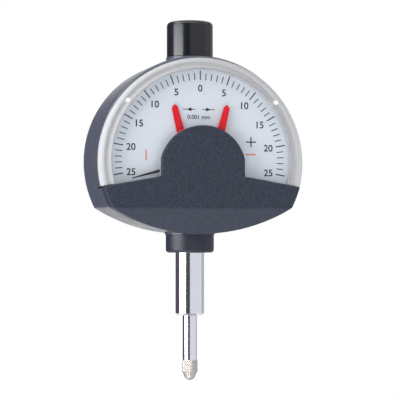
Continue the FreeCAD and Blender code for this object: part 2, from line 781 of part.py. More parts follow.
def plate(label, lift, plain_holes, slots=()):
    """A movement plate in the housing's outline with a straight top edge."""
    item = body(label)
    outline = sketch(item, y=dial_z, lift=lift)
    shell_outline(outline, d.plate_inset)
    pad(item, outline, d.plate_thick)
    top = sketch(item, y=dial_z, lift=lift)
    wide = d.body_rad
    polygon(top, [(-wide, d.plate_top), (wide, d.plate_top), (wide, wide), (-wide, wide)])
    pocket(item, top, d.plate_thick)
    holes = sketch(item, lift=lift)
    for dia, x, z in plain_holes:
        circle(holes, size(dia) / 2, x, z)
    for half, low, high in slots:
        polygon(holes, [(-half, low), (half, low), (half, high), (-half, high)])
    pocket(item, holes, d.plate_thick)
    return item


def make_plates():
    bushes = [(d.bush_dia, sector_x, sector_z), (d.bush_dia, lever_x, lever_z)]
    setter_holes = [(d.setter_dia + 2 * d.setter_gap, x, z) for x, z in setters]
    posts = [(d.screw_dia, x, z) for x, z in pillars]
    fixings = [(d.screw_dia, x, z) for x, z in lugs]
    half = d.drive_pin_dia / 2 + d.slot_gap
    guide_z = dial_z + d.guide_pin_up
    slots = [(half, drive_pin_z - d.drive_pin_dia, drive_pin_z + d.drive_pin_dia),
             (half, guide_z - d.drive_pin_dia / 2 - d.slot_gap,
              guide_z + d.drive_pin_dia / 2 + d.travel + 4 * d.slot_gap)]
    back = plate("back_plate", d.plate_lift,
                 bushes + [(d.bush_dia, 0, dial_z)] + setter_holes + posts + fixings, slots)
    stud = [(d.stud_dia, stud_x, dial_z)]
    bridge = plate("bridge_plate", d.bridge_lift,
                   bushes + [(d.post_dia, 0, dial_z)] + setter_holes + posts + stud)
    return [back, bridge]


def make_bushes():
    """Flat bushes pressed in the plates for the pivots of the arbors."""
    bore = d.pivot_dia + 2 * d.pivot_gap
    spots = {"rear": (d.plate_lift, [(sector_x, sector_z), (lever_x, lever_z), (size(0), dial_z)]),
             "front": (d.bridge_lift, [(sector_x, sector_z), (lever_x, lever_z)])}
    made = []
    for side, (lift, places) in spots.items():
        bushes = [cut(f"{side}_bush", rod("bush_blank", d.bush_dia, lift, lift + d.plate_thick, x, z),
                      [rod("bush_bore", bore, lift, lift + d.plate_thick, x, z)]) for x, z in places]
        made.append(group(f"{side}_pivot_bushes", bushes))
    return made


def make_pillars():
    """Hexagonal pillars that hold the bridge plate off the back plate."""
    made = [cut("plate_pillar", prism("pillar_blank", 6, d.pillar_dia, plate_front, d.bridge_lift, x, z),
                [prism("pillar_bore", 8, d.screw_dia, plate_front, d.bridge_lift, x, z)])
            for x, z in pillars]
    return group("plate_pillars", made)


def make_movement_screws():
    fixing = group("movement_screws", [
        screw("fixing_screw", x, z, plate_front, plate_front + d.screw_head_len,
              d.plate_lift - d.fixing_depth, plate_front) for x, z in lugs])
    bridge = group("bridge_screws", [
        screw("bridge_screw", x, z, d.plate_lift - d.screw_head_len, d.plate_lift,
              d.plate_lift, bridge_front) for x, z in pillars])
    return [fixing, bridge]


def arbor(label, x, z):
    """A shaft with a thin pivot at each end that runs in the plates' bushes."""
    shake = d.end_shake
    return stepped(label, [
        (d.pivot_dia, d.plate_lift + shake, plate_front + shake),
        (d.arbor_dia, plate_front + shake, d.bridge_lift - shake),
        (d.pivot_dia, d.bridge_lift - shake, bridge_front - shake)], x, z)


def tooth_outline(drawing, module, teeth, backlash):
    """One tooth on the sketch's x axis, straight-flanked, from below the root to the tip."""
    pitch_rad = module * teeth / 2
    half = module * (math.pi / 4) - backlash / 2
    root_rad = pitch_rad - module * 1.2
    tip_rad = pitch_rad + module * 0.85
    low = root_rad - module * 0.3
    slope = 0.364
    polygon(drawing, [(low, -(half + module * 1.2 * slope)), (tip_rad, -(half - module * 0.85 * slope)),
                      (tip_rad, half - module * 0.85 * slope), (low, half + module * 1.2 * slope)])


def toothed(item, module, teeth, cut_teeth, x, z, lift, thick, first_angle, backlash):
    """Add a run of teeth to a body, starting at an angle from +X and going anticlockwise."""
    drawing = sketch(item, x=x, y=z, lift=lift, turn=first_angle)
    tooth_outline(drawing, module, teeth, backlash)
    feature = pad(item, drawing, thick)
    whole = cut_teeth is teeth
    span = size(360) if whole else 360 * (cut_teeth - 1) / teeth
    pattern(item, feature, drawing, cut_teeth, span)


def make_sector():
    """Lever with a short driven arm and a toothed rim; its hub is pressed on the arbor."""
    pitch_rad = d.gear_module * d.sector_teeth / 2
    root_rad = pitch_rad - d.gear_module * 1.2
    inner = root_rad - d.sector_rim
    step = size(360) / d.sector_teeth
    low = d.gear_angle - step * 11
    item = body("sector")
    rim = sketch(item, x=sector_x, y=sector_z, lift=d.sector_lift)
    rim_sector(rim, inner, root_rad, low - step * 0.6, step * (d.sector_cut_teeth - 1) + step * 1.2)
    pad(item, rim, d.sector_thick)
    toothed(item, d.gear_module, d.sector_teeth, d.sector_cut_teeth, sector_x, sector_z,
            d.sector_lift, d.sector_thick, low, d.gear_backlash)
    arm = sketch(item, x=sector_x, y=sector_z, lift=d.sector_lift, turn=d.gear_angle - 3)
    half = d.sector_arm / 2
    polygon(arm, [(0, -half), (inner + 1, -half * 0.6), (inner + 1, half * 0.6), (0, half)])
    pad(item, arm, d.sector_thick)
    hub = sketch(item, x=sector_x, y=sector_z, lift=d.sector_lift)
    circle(hub, d.sector_input + d.sector_pin_dia)
    pad(item, hub, d.sector_thick)
    bore = sketch(item, x=sector_x, y=sector_z, lift=d.sector_lift)
    circle(bore, d.arbor_dia / 2)
    swing = d.sector_swing / 2
    circle(bore, d.sector_pin_dia / 2, d.sector_input * cosine(swing), -(d.sector_input * sine(swing)))
    pocket(item, bore, d.sector_thick)
    return item


def rim_sector(drawing, inner, outer, start, span):
    """A ring sector about the sketch's origin, from a start angle over a span in degrees."""
    angles = [size(start), size(start) + span]
    a, b = (math.radians(angle.value) for angle in angles)
    arcs = []
    for radius in (size(inner), size(outer)):
        shape = Part.Circle(Vector(), Vector(0, 0, 1), radius.value)
        curve = drawing.addGeometry(Part.ArcOfCircle(shape, a, b), False)
        drawing.addConstraint(Sketcher.Constraint("Coincident", curve, 3, -1, 1))
        index = drawing.addConstraint(Sketcher.Constraint("Radius", curve, radius.value))
        drawing.setExpression(f"Constraints[{index}]", radius.text)
        arcs.append((curve, radius))
    for end, angle in enumerate(angles, start=1):
        way = Vector(math.cos(math.radians(angle.value)), math.sin(math.radians(angle.value)), 0)
        line = drawing.addGeometry(Part.LineSegment(*(way * radius.value for _, radius in arcs)), False)
        for point, (curve, radius) in enumerate(arcs, start=1):
            drawing.addConstraint(Sketcher.Constraint("Coincident", line, point, curve, end))
            hold_height(drawing, line, point, radius * sine(angle))


def hold_height(drawing, curve, point, y):
    """Hold only the height of one point of a curve."""
    index = drawing.addConstraint(Sketcher.Constraint("DistanceY", -1, 1, curve, point, y.value))
    drawing.setExpression(f"Constraints[{index}]", y.text)


def make_sector_parts():
    shaft = arbor("sector_arbor", sector_x, sector_z)
    pin = rod("sector_pin", d.sector_pin_dia, d.lever_lift - 0.1, d.sector_lift + d.sector_thick,
              pin_x, pin_z)
    return [shaft, pin]


def make_lever():
    """Long transfer lever: lifted beside its pivot, it lifts the sector's pin at its far end."""
    item = body("transfer_lever")
    end_x = pin_x - d.sector_pin_dia / 2 - 0.1
    tip_top = pin_z - d.sector_pin_dia / 2 - d.lever_gap
    half = d.lever_root / 2
    arm = sketch(item, lift=d.lever_lift)
    polygon(arm, [(end_x, tip_top - d.lever_tip), (lever_x - 3 * d.hub_dia, lever_z - half),
                  (lever_x, lever_z - half), (lever_x, lever_z + half),
                  (lever_x - 3 * d.hub_dia, lever_z + half), (end_x + 1.5, tip_top), (end_x, tip_top)])
    pad(item, arm, d.lever_thick)
    hub = sketch(item, x=lever_x, y=lever_z, lift=d.lever_lift)
    circle(hub, d.hub_dia / 2)
    pad(item, hub, d.lever_thick)
    bore = sketch(item, x=lever_x, y=lever_z, lift=d.lever_lift)
    circle(bore, d.arbor_dia / 2)
    pocket(item, bore, d.lever_thick)
    return item


def make_pointer_arbor():
    """Arbor with the pinion cut on it; its front end passes through the fixed post."""
    item = body("pointer_arbor")
    shake = d.end_shake
    steps = [(d.pivot_dia, d.plate_lift + shake, plate_front + shake),
             (d.arbor_dia, plate_front + shake, d.pointer_lift + d.pointer_thick)]
    for dia, start, end in steps:
        drawing = sketch(item, y=dial_z, lift=start)
        circle(drawing, dia / 2)
        pad(item, drawing, end - start)
    root_rad = d.gear_module * d.pinion_teeth / 2 - d.gear_module * 1.2
    core_lift = d.sector_lift - 0.2
    core = sketch(item, y=dial_z, lift=core_lift)
    circle(core, root_rad)
    pad(item, core, d.sector_thick + 0.4)
    half_step = size(180) / d.pinion_teeth
    toothed(item, d.gear_module, d.pinion_teeth, d.pinion_teeth, 0, dial_z,
            core_lift, d.sector_thick + 0.4, d.gear_angle + 180 + half_step, d.gear_backlash)
    return item


def make_hairspring():
    """Flat spiral of short straight strips between the collet and the stud on the bridge."""
    turns = int(sheet.hair_turns)
    inner, outer = sheet.hair_inner, sheet.hair_outer
    strip, width = sheet.hair_strip, sheet.hair_width
    steps = turns * int(sheet.hair_sides)

    def side(offset):
        points = []
        for step in range(steps + 1):
            share = step / steps
            angle = 2 * math.pi * turns * (share - 1)
            radius = inner + (outer - inner - strip) * share + offset
            points.append(Vector(radius * math.cos(angle), 0, radius * math.sin(angle)))
        return points

    corners = side(0) + side(strip)[::-1]
    wire = Part.makePolygon(corners + corners[:1])
    item = doc.addObject("Part::Feature", "hairspring")
    item.Label = "hairspring"
    item.Shape = Part.Face(wire).extrude(Vector(0, -width, 0))
    item.Placement = FreeCAD.Placement(Vector(0, -sheet.hair_lift, dial_z.value), FreeCAD.Rotation())
    return item


def make_hair_fittings():
    collet = cut("hairspring_collet",
                 rod("collet_blank", 2 * d.hair_inner, d.hair_lift, d.hair_lift + d.hair_width, 0, dial_z),
                 [rod("collet_bore", d.arbor_dia, d.hair_lift, d.hair_lift + d.hair_width, 0, dial_z)])
    stud = rod("hairspring_stud", d.stud_dia, d.hair_lift, bridge_front, stud_x, dial_z)
    return [collet, stud]


# ---------------------------------------------------------------- dial, pointer and markers

def make_dial():
    item = body("dial")
    outline = sketch(item, y=dial_z, lift=d.seat_lift)
    shell_outline(outline, d.recess_inset + d.dial_gap)
    pad(item, outline, d.dial_thick)
    holes = sketch(item, y=dial_z, lift=d.seat_lift)
    circle(holes, d.dial_hole_dia / 2)
    for side in (-1, 1):
        circle(holes, d.mask_pin_dia / 2 + d.setter_gap, side * d.mask_pin_x, -d.mask_pin_drop)
        circle(holes, d.screw_dia / 2, side * d.dial_screw_x, -d.dial_screw_drop)
    pocket(item, holes, d.dial_thick)
    return item


def make_dial_screws():
    places = [(side * d.dial_screw_x, dial_z - d.dial_screw_drop) for side in (-1, 1)]
    return group("dial_screws", [
        screw("dial_screw", x, z, dial_front, dial_front + 0.5, d.seat_lift - d.web_thick, dial_front)
        for x, z in places])


def brow_outline(drawing, grow, floor):
    """The rounded central part of the front cover, grown outward by a clearance."""
    half = d.brow_half + grow
    radius = d.brow_rad + grow
    shoulder = root(radius * radius - half * half) - d.brow_drop
    low = math.atan2((shoulder + d.brow_drop).value, half.value)
    top = arc(drawing, radius, -d.brow_drop, low, math.pi - low)
    corners = [(-half, shoulder), (-half, floor), (half, floor), (half, shoulder)]
    spots = [(size(x), size(y)) for x, y in corners]
    lines = []
    for (ax, ay), (bx, by) in zip(spots, spots[1:]):
        lines.append(drawing.addGeometry(Part.LineSegment(
            Vector(ax.value, ay.value, 0), Vector(bx.value, by.value, 0)), False))
    drawing.addConstraint(Sketcher.Constraint("Coincident", top, 2, lines[0], 1))
    drawing.addConstraint(Sketcher.Constraint("Coincident", lines[0], 2, lines[1], 1))
    drawing.addConstraint(Sketcher.Constraint("Coincident", lines[1], 2, lines[2], 1))
    drawing.addConstraint(Sketcher.Constraint("Coincident", lines[2], 2, top, 1))
    hold(drawing, lines[1], 1, -half, floor)
    hold(drawing, lines[1], 2, half, floor)
    for line, point, x in ((lines[0], 1, -half), (lines[2], 2, half)):
        index = drawing.addConstraint(Sketcher.Constraint("DistanceX", -1, 1, line, point, x.value))
        drawing.setExpression(f"Constraints[{index}]", x.text)


def wing_line(x, grow):
    """Height of the cover's sloping upper edge at a distance from the middle."""
    fall = (x - d.brow_half) * sine(d.wing_slope) / cosine(d.wing_slope)
    return grow - d.wing_drop - fall


def make_window():
    """Clear half-moon window with a thick rim and a skirt over the housing, cut out for the cover."""
    item = body("window")
    outline = sketch(item, y=dial_z, lift=d.skirt_lift)
    circle(outline, window_rad)
    pad(item, outline, d.window_lift - d.skirt_lift)
    dressed(item, "Chamfer", at_lift(d.window_lift), d.window_bevel)
    inside = sketch(item, y=dial_z, lift=d.body_front)
    circle(inside, window_bore_rad)
    pocket(item, inside, d.window_lift - d.window_thick - d.body_front)
    skirt = sketch(item, y=dial_z, lift=d.skirt_lift)
    circle(skirt, window_rad - d.skirt_wall)
    pocket(item, skirt, d.body_front - d.skirt_lift)
    wide = d.body_rad * 1.2
    low = sketch(item, y=dial_z, lift=d.skirt_lift)
    grow = size(d.window_fit)
    half = d.brow_half
    polygon(low, [(-wide, -wide), (wide, -wide), (wide, wing_line(wide, grow)),
                  (half, wing_line(half, grow)), (-half, wing_line(half, grow)),
                  (-wide, wing_line(wide, grow))])
    pocket(item, low, d.window_lift)
    brow = sketch(item, y=dial_z, lift=d.body_front)
    brow_outline(brow, grow, -d.wing_drop - 2)
    pocket(item, brow, d.window_lift)
    pins = sketch(item, y=dial_z, lift=d.body_front)
    for side in (-1, 1):
        circle(pins, d.window_pin_dia / 2, side * window_pin_x, window_pin_up)
    pocket(item, pins, d.window_lift)
    return item


def make_window_pins():
    return group("window_pins", [
        rod("window_pin", d.window_pin_dia, d.body_front - d.window_pin_depth, d.window_lift - 0.5,
            side * window_pin_x, dial_z + window_pin_up) for side in (-1, 1)])


def make_front_cover():
    """Moulded mask over the lower half of the dial and the pointer's hub."""
    item = body("front_cover")
    deep = d.mask_lift - d.body_front
    outline = sketch(item, y=dial_z, lift=d.body_front)
    shell_outline(outline, 0, mask_rad)
    pad(item, outline, deep)
    dressed(item, "Fillet", is_mask_corner, d.corner_round)
    wide = d.body_rad * 1.2
    half = d.brow_half
    upper = sketch(item, y=dial_z, lift=d.body_front)
    grow = size(0)
    polygon(upper, [(-wide, wide), (-wide, wing_line(wide, grow)), (-half, wing_line(half, grow)),
                    (half, wing_line(half, grow)), (wide, wing_line(wide, grow)), (wide, wide)])
    pocket(item, upper, deep)
    hollow = sketch(item, y=dial_z, lift=d.body_front)
    inner = half - d.mask_wall
    polygon(hollow, [(-inner, -d.crease_drop + 1), (inner, -d.crease_drop + 1),
                     (inner, -d.wing_drop + 1), (-inner, -d.wing_drop + 1)])
    pocket(item, hollow, d.mask_lift - d.brow_thick - d.body_front)
    for side in (-1, 1):
        bay = sketch(item, y=dial_z, lift=d.body_front)
        outer = side * (d.body_rad * 0.82)
        near = side * (inner + d.mask_wall)
        polygon(bay, [(near, -d.crease_drop + 1), (outer, -d.crease_drop + 1),
                      (outer, wing_line(d.body_rad, -d.mask_wall)),
                      (near, wing_line(half + 4, -d.mask_wall))])
        pocket(item, bay, d.mask_lift - d.mask_front - d.body_front)
    brow = sketch(item, y=dial_z, lift=d.mask_lift - d.brow_thick)
    brow_outline(brow, size(0), -d.wing_drop - 1)
    pad(item, brow, d.brow_thick)
    facet = sketch(item, role="YZ_Plane", y=dial_z, lift=-wide)
    front = -d.mask_lift
    bottom = -d.bottom_drop - 1
    fall = d.crease_fall * (d.bottom_drop + 1 - d.crease_drop) / (d.bottom_drop - d.crease_drop)
    polygon(facet, [(front, -d.crease_drop), (front + fall, bottom), (front - 1, bottom),
                    (front - 1, -d.crease_drop)])
    slope = pocket(item, facet, wide * 2)
    slope.Reversed = True
    holes = sketch(item, y=dial_z, lift=d.body_front)
    for side in (-1, 1):
        circle(holes, d.mask_pin_dia / 2, side * d.mask_pin_x, -d.mask_pin_drop)
    pocket(item, holes, mask_pin_top - d.body_front)
    reliefs = sketch(item, y=dial_z, lift=d.body_front)
    for side in (-1, 1):
        circle(reliefs, d.screw_head_dia / 2 + 3 * d.setter_gap, side * d.dial_screw_x, -d.dial_screw_drop)
    pocket(item, reliefs, d.screw_head_len)
    dressed(item, "Fillet", is_front_rim, d.mask_round)
    return item


mask_pin_top = d.body_front + 1.6


def is_mask_corner(edge):
    box = edge.BoundBox
    return box.YLength > 2 and abs(box.XMin) > 20 and box.XLength < 0.01


def is_front_rim(edge):
    """Edges of the front face, except the crease."""
    box = edge.BoundBox
    level = -d.mask_lift.value
    flat = abs(box.YMin - level) < 1e-6 and abs(box.YMax - level) < 1e-6
    crease = abs(box.ZMax - box.ZMin) < 1e-6 and box.XLength > 30
    return flat and not crease


def make_mask_pins():
    return group("cover_pins", [
        rod("cover_pin", d.mask_pin_dia, d.seat_lift - d.web_thick, mask_pin_top,
            side * d.mask_pin_x, dial_z - d.mask_pin_drop) for side in (-1, 1)])


def make_pointer():
    item = body("pointer")
    needle = sketch(item, y=dial_z, lift=d.pointer_lift, turn=90 + d.pointer_rest)
    half = d.pointer_root / 2
    tip = d.pointer_tip / 2
    polygon(needle, [(-d.pointer_tail, -half * 1.6), (0, -half), (d.pointer_len, -tip),
                     (d.pointer_len, tip), (0, half), (-d.pointer_tail, half * 1.6)])
    pad(item, needle, d.pointer_thick)
    hub = sketch(item, y=dial_z, lift=d.pointer_lift)
    circle(hub, d.pointer_hub_dia / 2)
    pad(item, hub, d.pointer_hub_len)
    bore = sketch(item, y=dial_z, lift=d.pointer_lift)
    circle(bore, d.arbor_dia / 2)
    pocket(item, bore, d.pointer_thick)
    return item


def make_marker_post():
    """Fixed tube on the bridge: it carries both marker tubes and the arbor passes through it."""
    end = d.pointer_lift - 0.15
    return cut("marker_post", rod("post_blank", d.post_dia, d.bridge_lift, end, 0, dial_z),
               [rod("post_bore", d.post_bore_dia, d.bridge_lift, end, 0, dial_z)])


def make_marker(side, name, bore_dia, tube_dia, wheel_lift, arm_lift):
    """One tolerance marker: arm, hub and tube in one piece, at its rest place."""
    item = body(f"{name}_marker")
    tube = sketch(item, y=dial_z, lift=wheel_lift)
    circle(tube, tube_dia / 2)
    pad(item, tube, arm_lift + d.marker_thick - wheel_lift)
    hub = sketch(item, y=dial_z, lift=arm_lift)
    circle(hub, d.marker_hub_dia / 2)
    pad(item, hub, d.marker_thick)
    arm = sketch(item, y=dial_z, lift=arm_lift)
    foot_x = d.marker_side - d.marker_root / 2
    lean = d.marker_tip_up * sine(d.marker_lean) / cosine(d.marker_lean)
    tip_x = d.marker_side + lean - d.marker_end / 2
    corners = [(foot_x, size(0)), (foot_x + d.marker_root, size(0)),
               (tip_x + d.marker_end, d.marker_tip_up - d.marker_end * 0.7),
               (tip_x + d.marker_end * 0.55, d.marker_tip_up), (tip_x, d.marker_tip_up - d.marker_end * 0.35)]
    polygon(arm, [(side * x, y) for x, y in corners])
    pad(item, arm, d.marker_thick)
    bore = sketch(item, y=dial_z, lift=wheel_lift)
    circle(bore, bore_dia / 2)
    pocket(item, bore, arm_lift + d.marker_thick - wheel_lift)
    return item


def make_marker_wheel(side, name, tube_dia, wheel_lift):
    """Toothed segment on a marker's tube, driven by its setting shaft."""
    item = body(f"{name}_marker_wheel")
    root_rad = d.marker_module * (d.wheel_teeth / 2 - 1.2)
    blank = sketch(item, y=dial_z, lift=wheel_lift)
    circle(blank, root_rad)
    pad(item, blank, d.wheel_thick)
    step = size(360) / d.wheel_teeth
    mesh = size(-45) if side > 0 else size(225)
    lead = 4 if side > 0 else 12
    toothed(item, d.marker_module, d.wheel_teeth, d.wheel_cut_teeth, 0, dial_z, wheel_lift,
            d.wheel_thick, mesh - step * lead, d.marker_backlash)
    bore = sketch(item, y=dial_z, lift=wheel_lift)
    circle(bore, tube_dia / 2)
    pocket(item, bore, d.wheel_thick)
    return item


def make_setter(side, name, wheel_lift):
    """Setting shaft with its pinion; it runs back through both plates and the rear cover."""
    item = body(f"{name}_setting_shaft")
    x = side * setter_reach
    shaft = sketch(item, x=x, y=setter_z, lift=-(d.body_rear + d.knob_gap + d.knob_len))
    circle(shaft, d.setter_dia / 2)
    pad(item, shaft, wheel_lift + d.wheel_thick + d.body_rear + d.knob_gap + d.knob_len)
    core = sketch(item, x=x, y=setter_z, lift=wheel_lift)
    circle(core, d.marker_module * (d.setter_teeth / 2 - 1.2))
    pad(item, core, d.wheel_thick)
    half_step = size(180) / d.setter_teeth
    mesh = size(135) if side > 0 else size(45)
    toothed(item, d.marker_module, d.setter_teeth, d.setter_teeth, x, setter_z, wheel_lift,
            d.wheel_thick, mesh + half_step, d.marker_backlash)
    return item


def make_knob(side, name):
    """Knurled knob behind the rear cover."""
    item = body(f"{name}_setting_knob")
    x = side * setter_reach
    far = -(d.body_rear + d.knob_gap + d.knob_len)
    disc = sketch(item, x=x, y=setter_z, lift=far)
    circle(disc, d.knob_dia / 2)
    pad(item, disc, d.knob_len)
    dressed(item, "Chamfer", at_lift(far), 0.4)
    bore = sketch(item, x=x, y=setter_z, lift=far)
    circle(bore, d.setter_dia / 2)
    pocket(item, bore, d.knob_len)
    flute = sketch(item, x=x, y=setter_z, lift=far)
    notch(flute, d.knob_dia / 2)
    groove = pocket(item, flute, d.knob_len)
    pattern(item, groove, flute, d.knob_flutes, 360)
    return item


# ---------------------------------------------------------------- assembly

def make_parts():
    low_wheel = d.wheel_low_lift
    high_wheel = d.wheel_low_lift + d.wheel_step
    low_arm = d.marker_low_lift
    high_arm = d.marker_low_lift + d.marker_step
    inner_bore = d.post_dia + 2 * d.tube_gap
    outer_bore = d.inner_tube_dia + 2 * d.tube_gap
    pieces = [make_housing(), make_rear_cover(), make_rear_gasket(), make_rear_screws(),
              make_stem(), make_collar(), make_cap(), make_top_bush(),
              make_spindle(), make_contact_point(), make_contact_ball(),
              ring("stop_collar", d.spindle_dia, d.shank_dia - 1, stem_top, stem_top + d.ring_thick),
              ring("sleeve_ring", d.spindle_dia, d.sleeve_dia, sleeve_top, sleeve_top + d.ring_thick),
              ring("spring_collar", d.spindle_dia, d.spindle_dia + 2.4, spring_seat - 0.8, spring_seat),
              make_cage(), make_cage_balls(), make_drive_sleeve(),
              make_pillars(), make_sector(), make_lever(), make_pointer_arbor(), make_hairspring(),
              arbor("lever_arbor", lever_x, lever_z),
              make_dial(), make_dial_screws(), make_window(), make_window_pins(),
              make_front_cover(), make_mask_pins(), make_pointer(), make_marker_post(),
              make_marker(-1, "left", outer_bore, d.outer_tube_dia, high_wheel, low_arm),
              make_marker(1, "right", inner_bore, d.inner_tube_dia, low_wheel, high_arm),
              make_marker_wheel(-1, "left", d.outer_tube_dia, high_wheel),
              make_marker_wheel(1, "right", d.inner_tube_dia, low_wheel)]
    for side, name, lift in ((-1, "left", high_wheel), (1, "right", low_wheel)):
        pieces.append(make_setter(side, name, lift))
        pieces.append(make_knob(side, name))
    for several in (make_springs(), make_pins(), make_plates(), make_bushes(), make_movement_screws(),
                    make_sector_parts(), make_hair_fittings()):
        pieces.extend(several)
    return pieces


def main():
    pieces = make_parts()
    doc.recompute()
    failed = [item.Label for item in doc.Objects if {"Invalid", "Error"} & set(item.State)]
    for item in pieces:
        if item.Shape.isNull() or not item.Shape.isValid():
            failed.append(item.Label)
    if failed:
        raise RuntimeError(f"these did not build: {sorted(set(failed))}")
    os.makedirs("parts", exist_ok=True)
    for item in pieces:
        item.Shape.exportStep(f"parts/{item.Label}.step")
    print(len(pieces), "pieces")


main()
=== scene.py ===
"""Looks of the plunger comparator: finishes, printed dial, clear window, knurling and studio.

Metres, +Z up along the stem, -Y to the front. "Lift" is the distance forward of the stem axis.
"""
import bmesh
import bpy
import json
import math
from mathutils import Matrix, Vector


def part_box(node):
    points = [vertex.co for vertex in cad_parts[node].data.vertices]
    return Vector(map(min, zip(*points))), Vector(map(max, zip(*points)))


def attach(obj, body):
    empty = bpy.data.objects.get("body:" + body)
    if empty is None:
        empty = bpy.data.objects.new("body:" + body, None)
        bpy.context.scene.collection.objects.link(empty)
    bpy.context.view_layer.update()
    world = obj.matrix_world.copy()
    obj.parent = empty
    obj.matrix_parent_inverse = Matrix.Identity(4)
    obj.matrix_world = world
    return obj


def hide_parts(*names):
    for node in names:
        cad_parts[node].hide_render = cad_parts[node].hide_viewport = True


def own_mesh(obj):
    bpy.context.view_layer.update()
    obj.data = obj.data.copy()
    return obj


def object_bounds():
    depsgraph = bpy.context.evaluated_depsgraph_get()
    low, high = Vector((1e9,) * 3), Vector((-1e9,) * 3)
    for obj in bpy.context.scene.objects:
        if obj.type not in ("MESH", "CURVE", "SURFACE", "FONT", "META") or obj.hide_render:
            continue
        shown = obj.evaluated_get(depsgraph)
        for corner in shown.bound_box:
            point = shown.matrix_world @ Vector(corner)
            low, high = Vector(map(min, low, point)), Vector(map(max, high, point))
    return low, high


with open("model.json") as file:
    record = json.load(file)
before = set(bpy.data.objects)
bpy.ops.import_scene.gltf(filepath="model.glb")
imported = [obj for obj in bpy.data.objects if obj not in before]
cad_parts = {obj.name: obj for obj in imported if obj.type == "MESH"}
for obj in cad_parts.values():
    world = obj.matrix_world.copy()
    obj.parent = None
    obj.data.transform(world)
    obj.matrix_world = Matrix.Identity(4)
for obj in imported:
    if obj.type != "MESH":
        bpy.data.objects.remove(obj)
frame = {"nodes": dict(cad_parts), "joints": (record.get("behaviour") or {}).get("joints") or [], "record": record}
cad_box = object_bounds()
MM = 0.001

# ---------------------------------------------------------------- places read from the frame


def joint_named(name):
    return next(joint for joint in frame["joints"] if joint["name"] == name)


def front_of(node):
    """Lift of a node's front face."""
    return -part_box(node)[0].y


DIAL_Z = Vector(joint_named("pointer_turn")["pos_m"]).z
DIAL_FRONT = front_of("dial")
WINDOW_FRONT = front_of("window")
WINDOW_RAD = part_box("window")[1].x
SKIRT_LIFT = -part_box("window")[1].y
BODY_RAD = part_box("housing")[1].x

# "drop" is a distance below the dial's centre
SEAT_LIFT = DIAL_FRONT + 0.2 * MM     # the rim stands on the painted band here
LENS_RAD = 24.9 * MM
LENS_DROP = 0.3 * MM
LENS_THICK = 1.1 * MM
RIM_RAD = BODY_RAD - 0.05 * MM
RIM_DROP = 0.75 * MM                  # of the centre of the rim's outer edge
RIM_ROUND = 1.3 * MM
WING_DROP = 4.6 * MM                  # of the cover's upper edge beside the brow
WING_SLOPE = math.radians(10)
BROW_HALF = 11.6 * MM
BROW_RAD = 12.0 * MM
BROW_DROP = 2.8 * MM
WINDOW_FIT = 0.12 * MM                # gap between the lens and the cover
CREASE_Z = DIAL_Z - 13.2 * MM         # crease across the front cover


# ---------------------------------------------------------------- finishes

EDGE_BREAK = 0.15 * MM                # painted edges are shaded round over this radius
CREASE_BLEND = 0.25 * MM              # the painted light from below fades in over this, above and below the crease


def set_inputs(node, values):
    for key, value in values.items():
        node.inputs[key].default_value = value


def new_material(name):
    material = bpy.data.materials.new(name)
    material.use_nodes = True
    return material, material.node_tree


class Finish:
    """A principled material with helpers for its texture nodes, in object coordinates."""

    def __init__(self, name, colour, roughness, metallic=0.0):
        self.material, self.tree = new_material(name)
        self.shader = self.tree.nodes["Principled BSDF"]
        set_inputs(self.shader, {"Base Color": (*colour, 1), "Roughness": roughness,
                                 "Metallic": metallic})
        self.colour = colour
        self.coords = self.tree.nodes.new("ShaderNodeTexCoord").outputs["Object"]
        self.normal = None

    def node(self, kind, values=None, **links):
        """Add a node; values and links go by the names of its inputs."""
        made = self.tree.nodes.new(kind)
        set_inputs(made, values or {})
        for key, source in links.items():
            self.tree.links.new(source, made.inputs[key])
        return made

    def noise(self, size, detail=3.0, rough=0.55, coords=None):
        """Noise whose grains are about size across."""
        made = self.node("ShaderNodeTexNoise",
                         {"Scale": 1 / size, "Detail": detail, "Roughness": rough},
                         Vector=coords or self.coords)
        return made.outputs["Fac"]

    def streaks(self, level, upright, detail):
        """Noise with grains of one size level with the floor and another upright."""
        scale = (1 / level, 1 / level, 1 / upright)
        mapping = self.node("ShaderNodeMapping", {"Scale": scale}, Vector=self.coords)
        return self.noise(1.0, detail, 0.6, mapping.outputs["Vector"])

    def spread(self, source, low, high, start=0.3, end=0.7):
        """What a source gives from start to end, as numbers from low to high."""
        made = self.node("ShaderNodeMapRange", {"From Min": start, "From Max": end,
                                                "To Min": low, "To Max": high}, Value=source)
        return made.outputs["Result"]

    def base_colour(self, factor, first, second, blend="MIX"):
        """Base colour mixed from two, each of them a colour or a node's output."""
        mix = self.tree.nodes.new("ShaderNodeMix")
        mix.data_type, mix.blend_type = "RGBA", blend
        ends = [socket for socket in mix.inputs if socket.type == "RGBA"]
        for end, colour in zip(ends, (first, second)):
            if isinstance(colour, bpy.types.NodeSocket):
                self.tree.links.new(colour, end)
            else:
                end.default_value = (*colour, 1)
        self.tree.links.new(factor, mix.inputs["Factor"])
        self.tree.links.new(next(s for s in mix.outputs if s.type == "RGBA"),
                            self.shader.inputs["Base Color"])

    def tint(self, source, dark, light):
        """Base colour that varies between two shades of the finish's colour."""
        self.base_colour(source, *(tuple(min(1.0, c * share) for c in self.colour)
                                   for share in (dark, light)))

    def roughness(self, source, low, high):
        self.tree.links.new(self.spread(source, low, high), self.shader.inputs["Roughness"])

    def rounded(self, radius):
        """Soft shading at sharp edges, as a light break of the edge gives."""
        made = self.node("ShaderNodeBevel", {"Radius": radius})
        made.samples = 6
        self.normal = made.outputs["Normal"]
        self.tree.links.new(self.normal, self.shader.inputs["Normal"])
        return self

    def bump(self, source, height, strength=1.0):
        links = {"Height": source}
        if self.normal:
            links["Normal"] = self.normal
        made = self.node("ShaderNodeBump", {"Distance": height, "Strength": strength}, **links)
        self.normal = made.outputs["Normal"]
        self.tree.links.new(self.normal, self.shader.inputs["Normal"])
        return self


